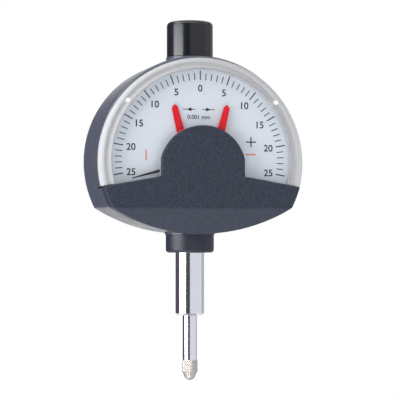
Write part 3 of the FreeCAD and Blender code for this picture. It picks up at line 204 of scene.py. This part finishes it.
def textured_paint(name, colour, grain, height, roughness, contrast=0.2, shine=0.3):
    """Orange-peel texture of a grain's size and height, lighter on its high spots."""
    made = Finish(name, colour, roughness)
    set_inputs(made.shader, {"Specular IOR Level": shine})
    grains = made.noise(grain, detail=4.0, rough=0.6)
    made.tint(made.spread(grains, 0, 1, start=0.34, end=0.66), 1 - contrast, 1 + contrast)
    made.roughness(made.noise(4 * MM), roughness - 0.05, roughness + 0.07)
    return made.rounded(EDGE_BREAK).bump(grains, height)


def cover_paint(name, colour, painted_underlight):
    """Coarse texture for the front cover, with painted light from below: its colour is made a little lighter below
    the crease.
    """
    made = textured_paint(name, colour, grain=0.42 * MM, height=0.035 * MM, roughness=0.5,
                          contrast=0.36)
    height = made.node("ShaderNodeSeparateXYZ", Vector=made.coords).outputs["Z"]
    # painted light from below: share of the lighter tone, full below the crease and none above it
    below = made.spread(height, 1, 0, start=CREASE_Z - CREASE_BLEND, end=CREASE_Z + CREASE_BLEND)
    tinted = made.shader.inputs["Base Color"].links[0].from_socket
    # adds the painted light from below on top of the grain's tint
    made.base_colour(below, tinted, painted_underlight, blend="ADD")
    return made


def turned_metal(name, colour, roughness, pitch=0.05 * MM, length=9.0 * MM, height=0.0006 * MM,
                 metallic=1.0):
    """Surface turned in a lathe: very fine rings round the stem axis."""
    made = Finish(name, colour, roughness, metallic)
    rings = made.streaks(length, pitch, detail=2.0)
    made.tint(rings, 0.93, 1.05)
    made.roughness(rings, roughness * 0.75, roughness * 1.3)
    return made.bump(rings, height, strength=0.6)


def brushed_metal(name, colour, roughness):
    """Flat metal with a fine grain from left to right."""
    made = Finish(name, colour, roughness, metallic=1.0)
    grain = made.streaks(6 * MM, 0.06 * MM, detail=3.0)
    made.tint(grain, 0.85, 1.08)
    made.roughness(grain, roughness - 0.06, roughness + 0.1)
    return made.bump(grain, 0.001 * MM, strength=0.5)


def lacquer(name, colour, roughness, shine=0.5):
    """Smooth paint with a faint waviness."""
    made = Finish(name, colour, roughness)
    set_inputs(made.shader, {"Specular IOR Level": shine})
    waves = made.noise(1.6 * MM)
    made.tint(made.noise(0.35 * MM, detail=4.0), 0.95, 1.04)
    made.roughness(waves, roughness * 0.85, roughness * 1.15)
    return made.bump(waves, 0.002 * MM, strength=0.4)


def milky_plastic(name, colour, roughness, cover):
    """Clear plastic seen edge-on: its own pale colour covers this share of what lies behind."""
    made = Finish(name, colour, roughness)
    set_inputs(made.shader, {"Specular IOR Level": 0.15, "Alpha": cover})
    made.tint(made.noise(2.2 * MM), 0.94, 1.06)
    return made.bump(made.noise(5 * MM), 0.02 * MM, strength=0.3)


def clear_plastic(name):
    """Thin clear sheet: what is behind shows, with a soft reflection that grows at a slant."""
    made = Finish(name, (1, 1, 1), 0)
    made.tree.nodes.remove(made.shader)
    waves = made.noise(14 * MM, detail=2.0, rough=0.5)
    bump = made.node("ShaderNodeBump", {"Distance": 0.01 * MM, "Strength": 0.3}, Height=waves)
    gloss = made.node("ShaderNodeBsdfGlossy", {"Roughness": 0.04}, Normal=bump.outputs["Normal"])
    clear = made.node("ShaderNodeBsdfTransparent", {"Color": (0.985, 0.99, 1.0, 1)})
    steep = made.node("ShaderNodeMath", {1: 5})
    steep.operation = "POWER"
    facing = made.node("ShaderNodeLayerWeight").outputs["Facing"]
    share = made.node("ShaderNodeMapRange", {"To Min": 0.008, "To Max": 0.7},
                      Value=steep.outputs["Value"])
    mix = made.node("ShaderNodeMixShader", Fac=share.outputs["Result"])
    for source, target in ((facing, steep.inputs[0]),
                           (clear.outputs["BSDF"], mix.inputs[1]),
                           (gloss.outputs["BSDF"], mix.inputs[2]),
                           (mix.outputs["Shader"],
                            made.tree.nodes["Material Output"].inputs["Surface"])):
        made.tree.links.new(source, target)
    return made


def make_finishes():
    """One material for each of the record's slots, and the ones that only looks need."""
    made = {
        "black_paint": textured_paint("housing_paint", (0.05, 0.058, 0.082), grain=0.22 * MM,
                                      height=0.006 * MM, roughness=0.3, shine=0.55),
        # the cover's paint carries painted light from below, lighter under the crease
        "black_moulding": cover_paint("cover_paint", (0.022, 0.028, 0.047),
                                      painted_underlight=(0.014, 0.016, 0.02)),
        "black_gloss": lacquer("cap_gloss", (0.008, 0.009, 0.014), 0.2),
        "dark_anodised": turned_metal("collar_anodised", (0.014, 0.02, 0.036), 0.42,
                                      length=8.0 * MM, height=0.0003 * MM, metallic=0.0),
        "polished_steel": turned_metal("polished_steel", (0.86, 0.87, 0.9), 0.13,
                                       pitch=0.12 * MM, length=20.0 * MM, height=0.00001 * MM),
        "steel": brushed_metal("plain_steel", (0.55, 0.56, 0.58), 0.3),
        "brass": brushed_metal("brass", (0.72, 0.55, 0.26), 0.28),
        "dial_white": lacquer("dial_white", (0.64, 0.68, 0.72), 0.42),
        "red": lacquer("marker_red", (0.68, 0.006, 0.018), 0.45, shine=0.1),
        "pointer_black": lacquer("pointer_black", (0.012, 0.012, 0.014), 0.45, shine=0.3),
        "spring_steel": turned_metal("spring_steel", (0.38, 0.4, 0.46), 0.25, pitch=0.2 * MM),
        "seal": textured_paint("seal_rubber", (0.014, 0.014, 0.015), grain=0.15 * MM,
                               height=0.008 * MM, roughness=0.7),
        "ceramic": lacquer("contact_ball", (0.32, 0.31, 0.31), 0.18),
        "contact_steel": turned_metal("contact_steel", (0.55, 0.51, 0.48), 0.24,
                                      pitch=0.08 * MM, length=6.0 * MM, height=0.0004 * MM),
        "rim": milky_plastic("window_rim", (0.62, 0.625, 0.65), 0.5, cover=0.595),
        "cut_edge": milky_plastic("window_cut_edge", (0.5, 0.51, 0.53), 0.3, cover=0.775),
        "pin": milky_plastic("window_pin", (0.95, 0.93, 0.88), 0.2, cover=0.9775),
        "print_black": lacquer("print_black", (0.018, 0.019, 0.022), 0.5, shine=0.2),
        "print_red": lacquer("print_red", (0.78, 0.17, 0.06), 0.5, shine=0.2),
        "clear": clear_plastic("window_clear"),
    }
    return {key: finish.material for key, finish in made.items()}


FINISHES = make_finishes()


def finish_nodes():
    """Give every CAD node the finish of its slot."""
    for part in frame["record"]["subparts"]:
        shown = frame["nodes"][part["node"]]
        chosen = FINISHES[part["material_slot"]]
        if shown.material_slots:
            for place in shown.material_slots:
                place.material = chosen
        else:
            shown.data.materials.append(chosen)


# ---------------------------------------------------------------- building blocks

MERGE = 1e-7                          # points this close are one
ON_AXIS = 1e-9                        # a radius under this is on the axis


def add_object(name, data):
    made = bpy.data.objects.new(name, data)
    bpy.context.collection.objects.link(made)
    return made


def plain_mesh(work, name):
    """Turn a bmesh into a mesh as it is."""
    mesh = bpy.data.meshes.new(name)
    work.to_mesh(mesh)
    work.free()
    return mesh


def add_piece(name, work, body, *finishes, smooth=40, slot=None):
    """Turn a bmesh into a piece with outward faces, finished and riding on its body."""
    bmesh.ops.remove_doubles(work, verts=work.verts, dist=MERGE)
    bmesh.ops.recalc_face_normals(work, faces=work.faces)
    mesh = plain_mesh(work, name)
    piece = add_object(name, mesh)
    for finish in finishes:
        mesh.materials.append(FINISHES[finish])
    if smooth:
        mesh.shade_smooth()
        mesh.set_sharp_from_angle(angle=math.radians(smooth))
    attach(piece, body)
    return piece


def corner_arc(centre, radius, start, end, steps=8):
    """Points of an arc in the profile plane, angles in degrees."""
    for step in range(steps + 1):
        angle = math.radians(start + (end - start) * step / steps)
        yield (centre[0] + radius * math.cos(angle), centre[1] + radius * math.sin(angle))


def swept(profile, place, start=0.0, span=360.0, steps=128, shape=None):
    """Sweep a closed profile of radius and height round an axis; place maps it into the frame.

    shape, if given, changes each radius by the height and angle that it stands at.
    """
    work = bmesh.new()
    whole = abs(span) >= 360
    rings = []
    for step in range(steps if whole else steps + 1):
        angle = math.radians(start + span * step / steps)
        ring = []
        for radius, height in profile:
            if shape:
                radius = shape(radius, height, angle)
            ring.append(work.verts.new(place(radius, height, angle)))
        rings.append(ring)
    following = rings[1:] + rings[:1] if whole else rings[1:]
    off_axis = [radius >= ON_AXIS for radius, _ in profile]
    for near, far in zip(rings, following):
        for i in range(len(profile)):
            j = (i + 1) % len(profile)
            if off_axis[i] or off_axis[j]:
                work.faces.new((near[i], near[j], far[j], far[i]))
    if not whole:
        work.faces.new(rings[0])
        work.faces.new(rings[-1])
    bmesh.ops.remove_doubles(work, verts=work.verts, dist=MERGE)
    bmesh.ops.dissolve_degenerate(work, edges=work.edges, dist=MERGE / 10)
    return work


def about_stem(radius, height, angle):
    return (radius * math.cos(angle), radius * math.sin(angle), height)


def about_point(x, z):
    """Place for an axis that runs forward, at x and a height above the dial's centre.

    The angle runs anticlockwise from the right, seen from the front.
    """
    def place(radius, height, angle):
        return (x + radius * math.cos(angle), -height, DIAL_Z + z + radius * math.sin(angle))
    return place


def tube(work, rings):
    """Join closed rings of points one after another, and close both ends."""
    for near, far in zip(rings, rings[1:]):
        for i in range(len(near)):
            j = (i + 1) % len(near)
            work.faces.new((near[i], near[j], far[j], far[i]))
    work.faces.new(rings[0])
    work.faces.new(rings[-1])


def slab(outlines, back, front):
    """Flat pieces between two lifts, from outlines of x and height above the dial's centre."""
    work = bmesh.new()
    for outline in outlines:
        tube(work, [[work.verts.new((x, -lift, DIAL_Z + z)) for x, z in outline]
                    for lift in (back, front)])
    return work


# ---------------------------------------------------------------- stem line

CAP_SLIM = 0.22 * MM                  # the photograph's cap and collar are a little slimmer
COLLAR_SLIM = 0.3 * MM                # than the solids
CAP_CROWN = ((0.45, 0.06), (0.2, 0.01), (0, 0))   # share of the radius, mm below the top


def make_cap():
    """Glossy protective cap with a rounded shoulder and a shallow dome."""
    low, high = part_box("protective_cap")
    outer = high.x - CAP_SLIM
    bore, roof_thick = 5.2 * MM, 1.85 * MM
    edge, shoulder, dome = 0.15 * MM, 1.15 * MM, 0.35 * MM
    roof = high.z - roof_thick
    top = high.z - dome
    profile = [(bore, low.z), (outer - edge, low.z), (outer, low.z + edge)]
    profile += corner_arc((outer - shoulder, top - shoulder), shoulder, 0, 82)
    profile += [(outer * share, high.z - drop * MM) for share, drop in CAP_CROWN]
    profile += [(0, roof), (bore, roof)]
    piece = add_piece("cap_shell", swept(profile, about_stem), "gauge_body", "black_gloss",
                      smooth=30, slot="black_gloss")
    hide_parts("protective_cap")


def make_collar():
    """Dark collar under the housing with a rounded lower edge."""
    low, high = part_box("collar")
    outer, bore = high.x - COLLAR_SLIM, 4.6 * MM
    face, edge, soft = 0.3 * MM, 0.1 * MM, 0.85 * MM
    profile = [(bore, high.z), (bore, low.z), (bore + face, low.z)]
    profile += corner_arc((outer - soft, low.z + soft), soft, -90, 0)
    profile += [(outer, high.z - edge), (outer - edge, high.z)]
    piece = add_piece("collar_ring", swept(profile, about_stem), "gauge_body", "dark_anodised",
                      smooth=35, slot="dark_anodised")
    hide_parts("collar")


def make_contact():
    """Screwed contact point with a diamond knurl and a cone that holds the ball."""
    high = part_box("contact_point")[1]
    outer = high.x
    thread, thread_long = 1.25 * MM, 4.5 * MM
    grip_top = high.z - thread_long
    grip_low = grip_top - 3.5 * MM
    bevel = 0.25 * MM
    ridges, rows, depth = 20, 4.5, 0.22 * MM
    ball_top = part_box("contact_ball")[1]
    seat = ball_top.x * 1.04

    def knurl(radius, height, angle):
        if radius < outer * 0.999:
            return radius
        along = rows * math.tau * (height - grip_low) / (grip_top - grip_low)
        return radius - depth * (0.5 - 0.5 * math.cos(angle * ridges) * math.cos(along))

    profile = [(0, high.z), (thread, high.z), (thread, grip_top), (outer - bevel, grip_top)]
    steps = 40
    top, low = grip_top - bevel, grip_low + bevel
    profile += [(outer, top + (low - top) * step / steps) for step in range(steps + 1)]
    profile += [(outer - bevel, grip_low), (seat, ball_top.z), (0, ball_top.z)]
    work = swept(profile, about_stem, steps=ridges * 8, shape=knurl)
    piece = add_piece("contact_grip", work, "plunger", "contact_steel", smooth=50,
                      slot="polished_steel")
    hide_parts("contact_point")


# ---------------------------------------------------------------- springs

SPRING_GAP = 0.06 * MM                # over the collar, which the measuring travel also lifts
FLAT_TURN = 0.75                      # how much of a coil's first and last turn lies flat


def make_spring(node, wire, turns, body):
    """Coil of round wire with closed ends."""
    low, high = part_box(node)
    low.z += SPRING_GAP
    radius = high.x - wire / 2
    start, end = low.z + wire / 2, high.z - wire / 2
    steps, sides = 26 * turns, 10
    work = bmesh.new()
    rings = []
    for step in range(steps + 1):
        share = step / steps
        turn = math.tau * turns * share
        lead = min(max((share * turns - FLAT_TURN) / (turns - 2 * FLAT_TURN), 0), 1)
        outward = Vector((math.cos(turn), math.sin(turn), 0))
        centre = Vector((radius * math.cos(turn), radius * math.sin(turn),
                         start + (end - start) * lead))
        ring = []
        for k in range(sides):
            side = math.tau * k / sides
            way = outward * math.cos(side) + Vector((0, 0, math.sin(side)))
            ring.append(work.verts.new(centre + way * wire / 2))
        rings.append(ring)
    tube(work, rings)
    piece = add_piece(node + "_coil", work, body, "spring_steel", smooth=50, slot="spring_steel")
    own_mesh(piece)
    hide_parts(node)


def make_springs():
    make_spring("force_spring", 0.45 * MM, 6, "gauge_body")
    make_spring("overload_spring", 0.35 * MM, 4, "drive_slide")


# ---------------------------------------------------------------- window

LENS_REACH = 0.965                    # share of the lens's radius where its arc meets the wing
RIM_END = 20                          # degrees that the rim is swept below the level, then cut
BAND_END = 15.25                      # degrees that the painted band reaches below the level


def wing_height(x):
    """Lower edge of the window beside the brow."""
    return WINDOW_FIT - WING_DROP - (abs(x) - BROW_HALF) * math.tan(WING_SLOPE)


def lens_outline():
    """Half-moon with the brow cut out, anticlockwise from the right wing."""
    end = math.asin(-(wing_height(LENS_RAD * LENS_REACH) + LENS_DROP) / LENS_RAD)
    steps = 96
    points = []
    for step in range(steps + 1):
        angle = -end + (math.pi + 2 * end) * step / steps
        points.append((LENS_RAD * math.cos(angle), LENS_RAD * math.sin(angle) - LENS_DROP))
    half = BROW_HALF + WINDOW_FIT
    radius = BROW_RAD + WINDOW_FIT
    points.append((-half, wing_height(BROW_HALF)))
    shoulder = math.acos(half / radius)
    steps = 24
    for step in range(steps + 1):
        angle = math.pi - shoulder - (math.pi - 2 * shoulder) * step / steps
        points.append((radius * math.cos(angle), radius * math.sin(angle) - BROW_DROP))
    points.append((half, wing_height(BROW_HALF)))
    return points


def rim_radius(radius, height, angle):
    """Radius from the dial's centre to a circle whose own centre is lower."""
    share = (radius - LENS_RAD) / (RIM_RAD - LENS_RAD)
    drop = LENS_DROP + (RIM_DROP - LENS_DROP) * share
    return math.sqrt(radius ** 2 - (drop * math.cos(angle)) ** 2) - drop * math.sin(angle)


def make_window():
    """Clear lens, pale thick rim with a rounded front and a shallow groove, and its pins."""
    work = slab([lens_outline()], WINDOW_FRONT - LENS_THICK, WINDOW_FRONT)
    for face in work.faces:
        face.material_index = 0 if abs(face.normal.y) > 0.5 or len(face.verts) > 4 else 1
    lens = add_piece("window_lens", work, "gauge_body", "clear", "cut_edge", smooth=30,
                     slot="clear")
    bead, seat_edge = 0.35 * MM, 0.3 * MM
    edge = LENS_RAD + 0.02 * MM
    groove = [(2.1 * MM, 0), (1.7 * MM, 0.12 * MM), (1.1 * MM, 0.12 * MM), (0.8 * MM, 0)]
    profile = [(RIM_RAD, SEAT_LIFT), (RIM_RAD, SEAT_LIFT + seat_edge)]
    profile += corner_arc((RIM_RAD - RIM_ROUND, WINDOW_FRONT - RIM_ROUND), RIM_ROUND, 0, 90, 10)
    profile += [(edge + out, WINDOW_FRONT - deep) for out, deep in groove]
    profile += [(edge + bead, WINDOW_FRONT), (edge, WINDOW_FRONT - bead), (edge, SEAT_LIFT)]
    work = swept(profile, about_point(0, 0), -RIM_END, 180 + 2 * RIM_END, 160, rim_radius)
    cut_at_wings(work)
    rim = add_piece("window_rim_band", work, "gauge_body", "rim", smooth=35, slot="clear")
    make_front_band()
    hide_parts("window")
    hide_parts("window")
    make_rim_pins()


def cut_at_wings(work):
    """Trim a ring along the wing line on both sides, and close the cuts."""
    for side in (-1, 1):
        corner = Vector((side * BROW_HALF, 0, DIAL_Z + wing_height(BROW_HALF)))
        down = Vector((-side * math.sin(WING_SLOPE), 0, -math.cos(WING_SLOPE)))
        geometry = [item for kind in (work.verts, work.edges, work.faces) for item in kind]
        near = [item for item in geometry if side * centre_of(item).x > 0]
        cut = bmesh.ops.bisect_plane(work, geom=near, plane_co=corner, plane_no=down,
                                     clear_outer=True)
        rim = [item for item in cut["geom_cut"] if isinstance(item, bmesh.types.BMEdge)]
        bmesh.ops.holes_fill(work, edges=rim)


def centre_of(item):
    if isinstance(item, bmesh.types.BMVert):
        return item.co
    return sum((vert.co for vert in item.verts), Vector()) / len(item.verts)


def make_front_band():
    """Front of the housing's wall under the window: a painted band with a rounded edge."""
    soft = 0.8 * MM
    inner, front = WINDOW_RAD - 0.05 * MM, SEAT_LIFT - 0.02 * MM
    profile = [(inner, SKIRT_LIFT), (BODY_RAD, SKIRT_LIFT)]
    profile += corner_arc((BODY_RAD - soft, front - soft), soft, 0, 90, 6)
    profile += [(inner, front)]
    work = swept(profile, about_point(0, 0), -BAND_END, 180 + 2 * BAND_END, 144)
    band = add_piece("housing_front_band", work, "gauge_body", "black_paint", smooth=35,
                     slot="black_paint")
    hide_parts("window")


def make_rim_pins():
    """Two pins through the rim, each with a head that is rounded at the front."""
    low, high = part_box("window_pins")
    shank, head, edge = 0.4 * MM, 0.62 * MM, 0.2 * MM
    centre_x = high.x - 0.65 * MM
    centre_z = (low.z + high.z) / 2 - DIAL_Z
    profile = [(0, -high.y), (shank, -high.y), (shank, WINDOW_FRONT - 0.9 * MM),
               (head, WINDOW_FRONT - 0.7 * MM)]
    profile += corner_arc((head - edge, WINDOW_FRONT - edge), edge, 0, 90, 4)
    profile += [(0, WINDOW_FRONT)]
    work = bmesh.new()
    for side in (-1, 1):
        one = swept(profile, about_point(side * centre_x, centre_z), steps=32)
        work.from_mesh(plain_mesh(one, "pin"))
    piece = add_piece("rim_pins", work, "gauge_body", "pin", slot="clear")
    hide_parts("window_pins")


# ---------------------------------------------------------------- printed dial

PRINT_BACK = DIAL_FRONT
PRINT_FRONT = DIAL_FRONT + 0.02 * MM
DIVISION = 4                          # degrees for each division
DIVISIONS = 25                        # each way from zero
FIGURE_EVERY = 5                      # divisions from one figure and long tick to the next
TICK_INNER = 21.7 * MM
TICK_ENDS = {True: 24.3 * MM, False: 23.6 * MM}      # True for a long tick
TICK_HALVES = {True: 0.15 * MM, False: 0.12 * MM}
NUMERAL_RAD = 19.5 * MM
NUMERAL_HEIGHT = 1.9 * MM
NUMERAL_BOLD = 0.03 * MM
# text, x, height above the dial's centre, and height of its figures
UNIT = ("0.001 mm", -0.45 * MM, 11.65 * MM, 1.15 * MM)
UNIT_BOLD = 0.015 * MM
SIGN_LONG, SIGN_THICK = 2.8 * MM, 0.34 * MM
PLUS = Vector((14.3, 5.0)) * MM
PLUS_LINE = Vector((14.2, 1.6)) * MM                 # red line under the plus sign
MINUS_LINE = Vector((-15.05, 1.15)) * MM             # red upright line on the left
MINUS_LONG = 2.9 * MM
ARROW_HEIGHT = 13.7 * MM
ARROWS = ((-3.1 * MM, -1), (2.3 * MM, 1))            # x, and the way that it points


def bar(x, z, width, height):
    half_x, half_z = width / 2, height / 2
    return [(x - half_x, z - half_z), (x + half_x, z - half_z),
            (x + half_x, z + half_z), (x - half_x, z + half_z)]


def arrow(x, z, way):
    """Direction arrow: a long thin shaft with its head half way along."""
    half, head, tall, thin = 1.75 * MM, 0.65 * MM, 0.52 * MM, 0.1 * MM
    tip, neck, tail = x + way * half, x - way * head, x - way * half
    front = x + way * head * 0.7
    return [(tip, z - thin), (tip, z + thin), (front, z + thin), (neck, z + tall),
            (neck, z + thin), (tail, z + thin), (tail, z - thin), (neck, z - thin),
            (neck, z - tall), (front, z - thin)]


def print_shapes(name, finish, outlines):
    add_piece(name, slab(outlines, PRINT_BACK, PRINT_FRONT), "gauge_body", finish, smooth=0)


def print_ticks():
    outlines = []
    for count in range(-DIVISIONS, DIVISIONS + 1):
        angle = math.radians(count * DIVISION)
        along = Vector((math.sin(angle), math.cos(angle)))
        across = Vector((along.y, -along.x))
        major = count % FIGURE_EVERY == 0
        start, end, half = TICK_INNER, TICK_ENDS[major], TICK_HALVES[major]
        corners = [along * start - across * half, along * start + across * half,
                   along * end + across * half, along * end - across * half]
        outlines.append([tuple(corner) for corner in corners])
    print_shapes("dial_ticks", "print_black", outlines)


def print_text(name, finish, words, bold):
    """Flat letters: words lists a text, x, height above the dial's centre and figure height."""
    work = bmesh.new()
    for text, x, z, tall in words:
        curve = bpy.data.curves.new("print", "FONT")
        curve.body = text
        curve.size = tall
        curve.extrude = (PRINT_FRONT - PRINT_BACK) / 2
        curve.offset = bold
        holder = add_object("print", curve)
        bpy.context.view_layer.update()
        drawn = bpy.data.meshes.new_from_object(holder)
        low = Vector([min(v.co[i] for v in drawn.vertices) for i in range(3)])
        high = Vector([max(v.co[i] for v in drawn.vertices) for i in range(3)])
        scale = tall / (high.y - low.y)
        upright = Matrix.Rotation(math.pi / 2, 4, "X") @ Matrix.Diagonal((scale, scale, 1, 1))
        drawn.transform(upright @ Matrix.Translation(-(low + high) / 2))
        drawn.transform(Matrix.Translation((x, -(PRINT_FRONT + PRINT_BACK) / 2, DIAL_Z + z)))
        work.from_mesh(drawn)
        bpy.data.objects.remove(holder)
    add_piece(name, work, "gauge_body", finish, smooth=0)


def make_print():
    """Ticks, figures, unit, direction arrows and signs."""
    print_ticks()
    figures = []
    for count in range(-DIVISIONS, DIVISIONS + 1, FIGURE_EVERY):
        angle = math.radians(count * DIVISION)
        figures.append((str(abs(count)), NUMERAL_RAD * math.sin(angle),
                        NUMERAL_RAD * math.cos(angle), NUMERAL_HEIGHT))
    print_text("dial_numerals", "print_black", figures, NUMERAL_BOLD)
    print_text("dial_unit", "print_black", [UNIT], UNIT_BOLD)
    arm, arm_long = (SIGN_LONG + SIGN_THICK) / 4, (SIGN_LONG - SIGN_THICK) / 2
    black = [bar(PLUS.x, PLUS.y, SIGN_LONG, SIGN_THICK)]
    black += [bar(PLUS.x, PLUS.y + way * arm, SIGN_THICK, arm_long) for way in (1, -1)]
    black += [arrow(x, ARROW_HEIGHT, way) for x, way in ARROWS]
    print_shapes("dial_signs", "print_black", black)
    red = [bar(PLUS_LINE.x, PLUS_LINE.y, SIGN_LONG, SIGN_THICK),
           bar(MINUS_LINE.x, MINUS_LINE.y, SIGN_THICK, MINUS_LONG)]
    print_shapes("dial_red_signs", "print_red", red)


# ---------------------------------------------------------------- studio

CAMERA_TURN = math.radians(14)
CAMERA_TILT = 0.02
CAMERA_AWAY = 0.476
FOCAL_MM, SENSOR_MM = 153.7, 36
LOOK_AT = (2.92 * MM, -10.66 * MM)    # x, and height above the dial's centre
LIT_DROP = 10 * MM                    # the lamps look at this point
# name, azimuth to the camera's right, elevation, distance, width, height; radiance or colour
LAMPS = (
    ("key_left", -60, 4, 0.6, 0.56, 0.26, 6.8),
    ("high_left", -72, 46, 0.7, 0.45, 0.35, 4.6),
    ("top_fill", 5, 60, 0.7, 0.6, 0.3, 2.2),
    ("low_fill", -16, -42, 0.5, 0.6, 0.22, 1.5),
)
FLAGS = (
    ("dark_front", -16, 0, 0.8, 0.52, 1.2, (0.06, 0.064, 0.076)),
    ("dark_left", -128, 0, 0.8, 1.2, 1.4, (0.09, 0.078, 0.105)),
    ("grey_right", 51, 0, 0.9, 2.07, 1.4, (0.76, 0.77, 0.82)),
    ("grey_under", 0, -86, 0.2, 0.16, 0.16, (0.42, 0.42, 0.46)),
    ("grey_back", 136, 0, 0.9, 1.08, 1.4, (0.5, 0.48, 0.56)),
)
FLOOR_DROP = 0.36                     # below the object, so that low_fill stands over the floor
FLOOR_RAD = 1.2
FLOOR_GLOW = 0.4                      # seen by the camera alone
WORLD_LIGHT = 0.72                    # share of white that lights matt surfaces


def make_camera():
    """Long lens from the left of the front, level with the lower edge of the dial."""
    sine, cosine = math.sin(CAMERA_TURN), math.cos(CAMERA_TURN)
    forward = Vector((sine * math.cos(CAMERA_TILT), cosine * math.cos(CAMERA_TILT),
                      math.sin(CAMERA_TILT)))
    right = Vector((cosine, -sine, 0))
    up = right.cross(forward)
    target = Vector((LOOK_AT[0], 0, DIAL_Z + LOOK_AT[1]))
    data = bpy.data.cameras.new("camera")
    data.lens, data.sensor_width = FOCAL_MM, SENSOR_MM
    data.clip_start, data.clip_end = 0.01, 20
    camera = add_object("camera", data)
    turn = Matrix((right, up, -forward)).transposed().to_4x4()
    camera.matrix_world = Matrix.Translation(target - forward * CAMERA_AWAY) @ turn
    bpy.context.scene.camera = camera


def aim(made, azimuth, elevation, distance):
    """Stand a lamp or a card round the object, facing it."""
    turn = math.radians(azimuth) - CAMERA_TURN
    rise = math.radians(elevation)
    way = Vector((math.sin(turn) * math.cos(rise), -math.cos(turn) * math.cos(rise),
                  math.sin(rise)))
    centre = Vector((0, 0, DIAL_Z - LIT_DROP))
    place = centre + way * distance
    facing = (centre - place).to_track_quat("-Z", "Y").to_matrix().to_4x4()
    made.matrix_world = Matrix.Translation(place) @ facing


def lamp(name, azimuth, elevation, distance, width, height, radiance):
    """A rectangular softbox; radiance is how bright its face looks."""
    data = bpy.data.lights.new(name, "AREA")
    data.shape = "RECTANGLE"
    data.size, data.size_y = width, height
    data.energy = radiance * math.pi * width * height
    aim(add_object(name, data), azimuth, elevation, distance)


def flag(name, azimuth, elevation, distance, width, height, colour):
    """A card that only polished surfaces see, beside the light."""
    work = bmesh.new()
    work.faces.new([work.verts.new((x, y, 0)) for x, y in bar(0, 0, width, height)])
    made = add_object(name, plain_mesh(work, name))
    material, tree = new_material(name)
    glow = tree.nodes.new("ShaderNodeEmission")
    set_inputs(glow, {"Color": (*colour, 1)})
    tree.links.new(glow.outputs["Emission"], tree.nodes["Material Output"].inputs["Surface"])
    made.data.materials.append(material)
    made.visible_camera = made.visible_diffuse = False
    made.visible_shadow = made.visible_transmission = False
    aim(made, azimuth, elevation, distance)


def make_floor():
    """White floor far below, which glows a little for the camera and takes a shadow."""
    work = bmesh.new()
    bmesh.ops.create_circle(work, cap_ends=True, segments=96, radius=FLOOR_RAD)
    made = add_object("floor", plain_mesh(work, "floor"))
    made.location.z = cad_box[0].z - FLOOR_DROP
    finish = Finish("floor_white", (0.86, 0.86, 0.87), 0.9)
    finish.tint(finish.noise(0.05), 0.99, 1.01)
    seen = finish.node("ShaderNodeLightPath").outputs["Is Camera Ray"]
    set_inputs(finish.shader, {"Emission Color": (1, 1, 1, 1)})
    finish.tree.links.new(finish.spread(seen, 0, FLOOR_GLOW, start=0, end=1),
                          finish.shader.inputs["Emission Strength"])
    made.data.materials.append(finish.material)


def make_world():
    """White to the eye, to polished surfaces and through the window; softer as a light."""
    made = bpy.data.worlds.new("studio")
    bpy.context.scene.world = made
    made.use_nodes = True
    tree = made.node_tree
    background = tree.nodes["Background"]
    set_inputs(background, {"Color": (1, 1, 1, 1)})
    path = tree.nodes.new("ShaderNodeLightPath")
    seen = path.outputs["Is Camera Ray"]
    for ray in ("Is Glossy Ray", "Is Transmission Ray"):
        join = tree.nodes.new("ShaderNodeMath")
        join.operation = "MAXIMUM"
        tree.links.new(seen, join.inputs[0])
        tree.links.new(path.outputs[ray], join.inputs[1])
        seen = join.outputs["Value"]
    strength = tree.nodes.new("ShaderNodeMapRange")
    set_inputs(strength, {"To Min": WORLD_LIGHT, "To Max": 1.0})
    tree.links.new(seen, strength.inputs["Value"])
    tree.links.new(strength.outputs["Result"], background.inputs["Strength"])


def make_studio():
    for row in LAMPS:
        lamp(*row)
    for row in FLAGS:
        flag(*row)
    make_floor()
    make_world()


# ---------------------------------------------------------------- the whole scene

make_camera()
finish_nodes()
make_cap()
make_collar()
make_contact()
make_springs()
make_window()
make_print()
make_studio()
bpy.context.scene.view_settings.view_transform = "Standard"
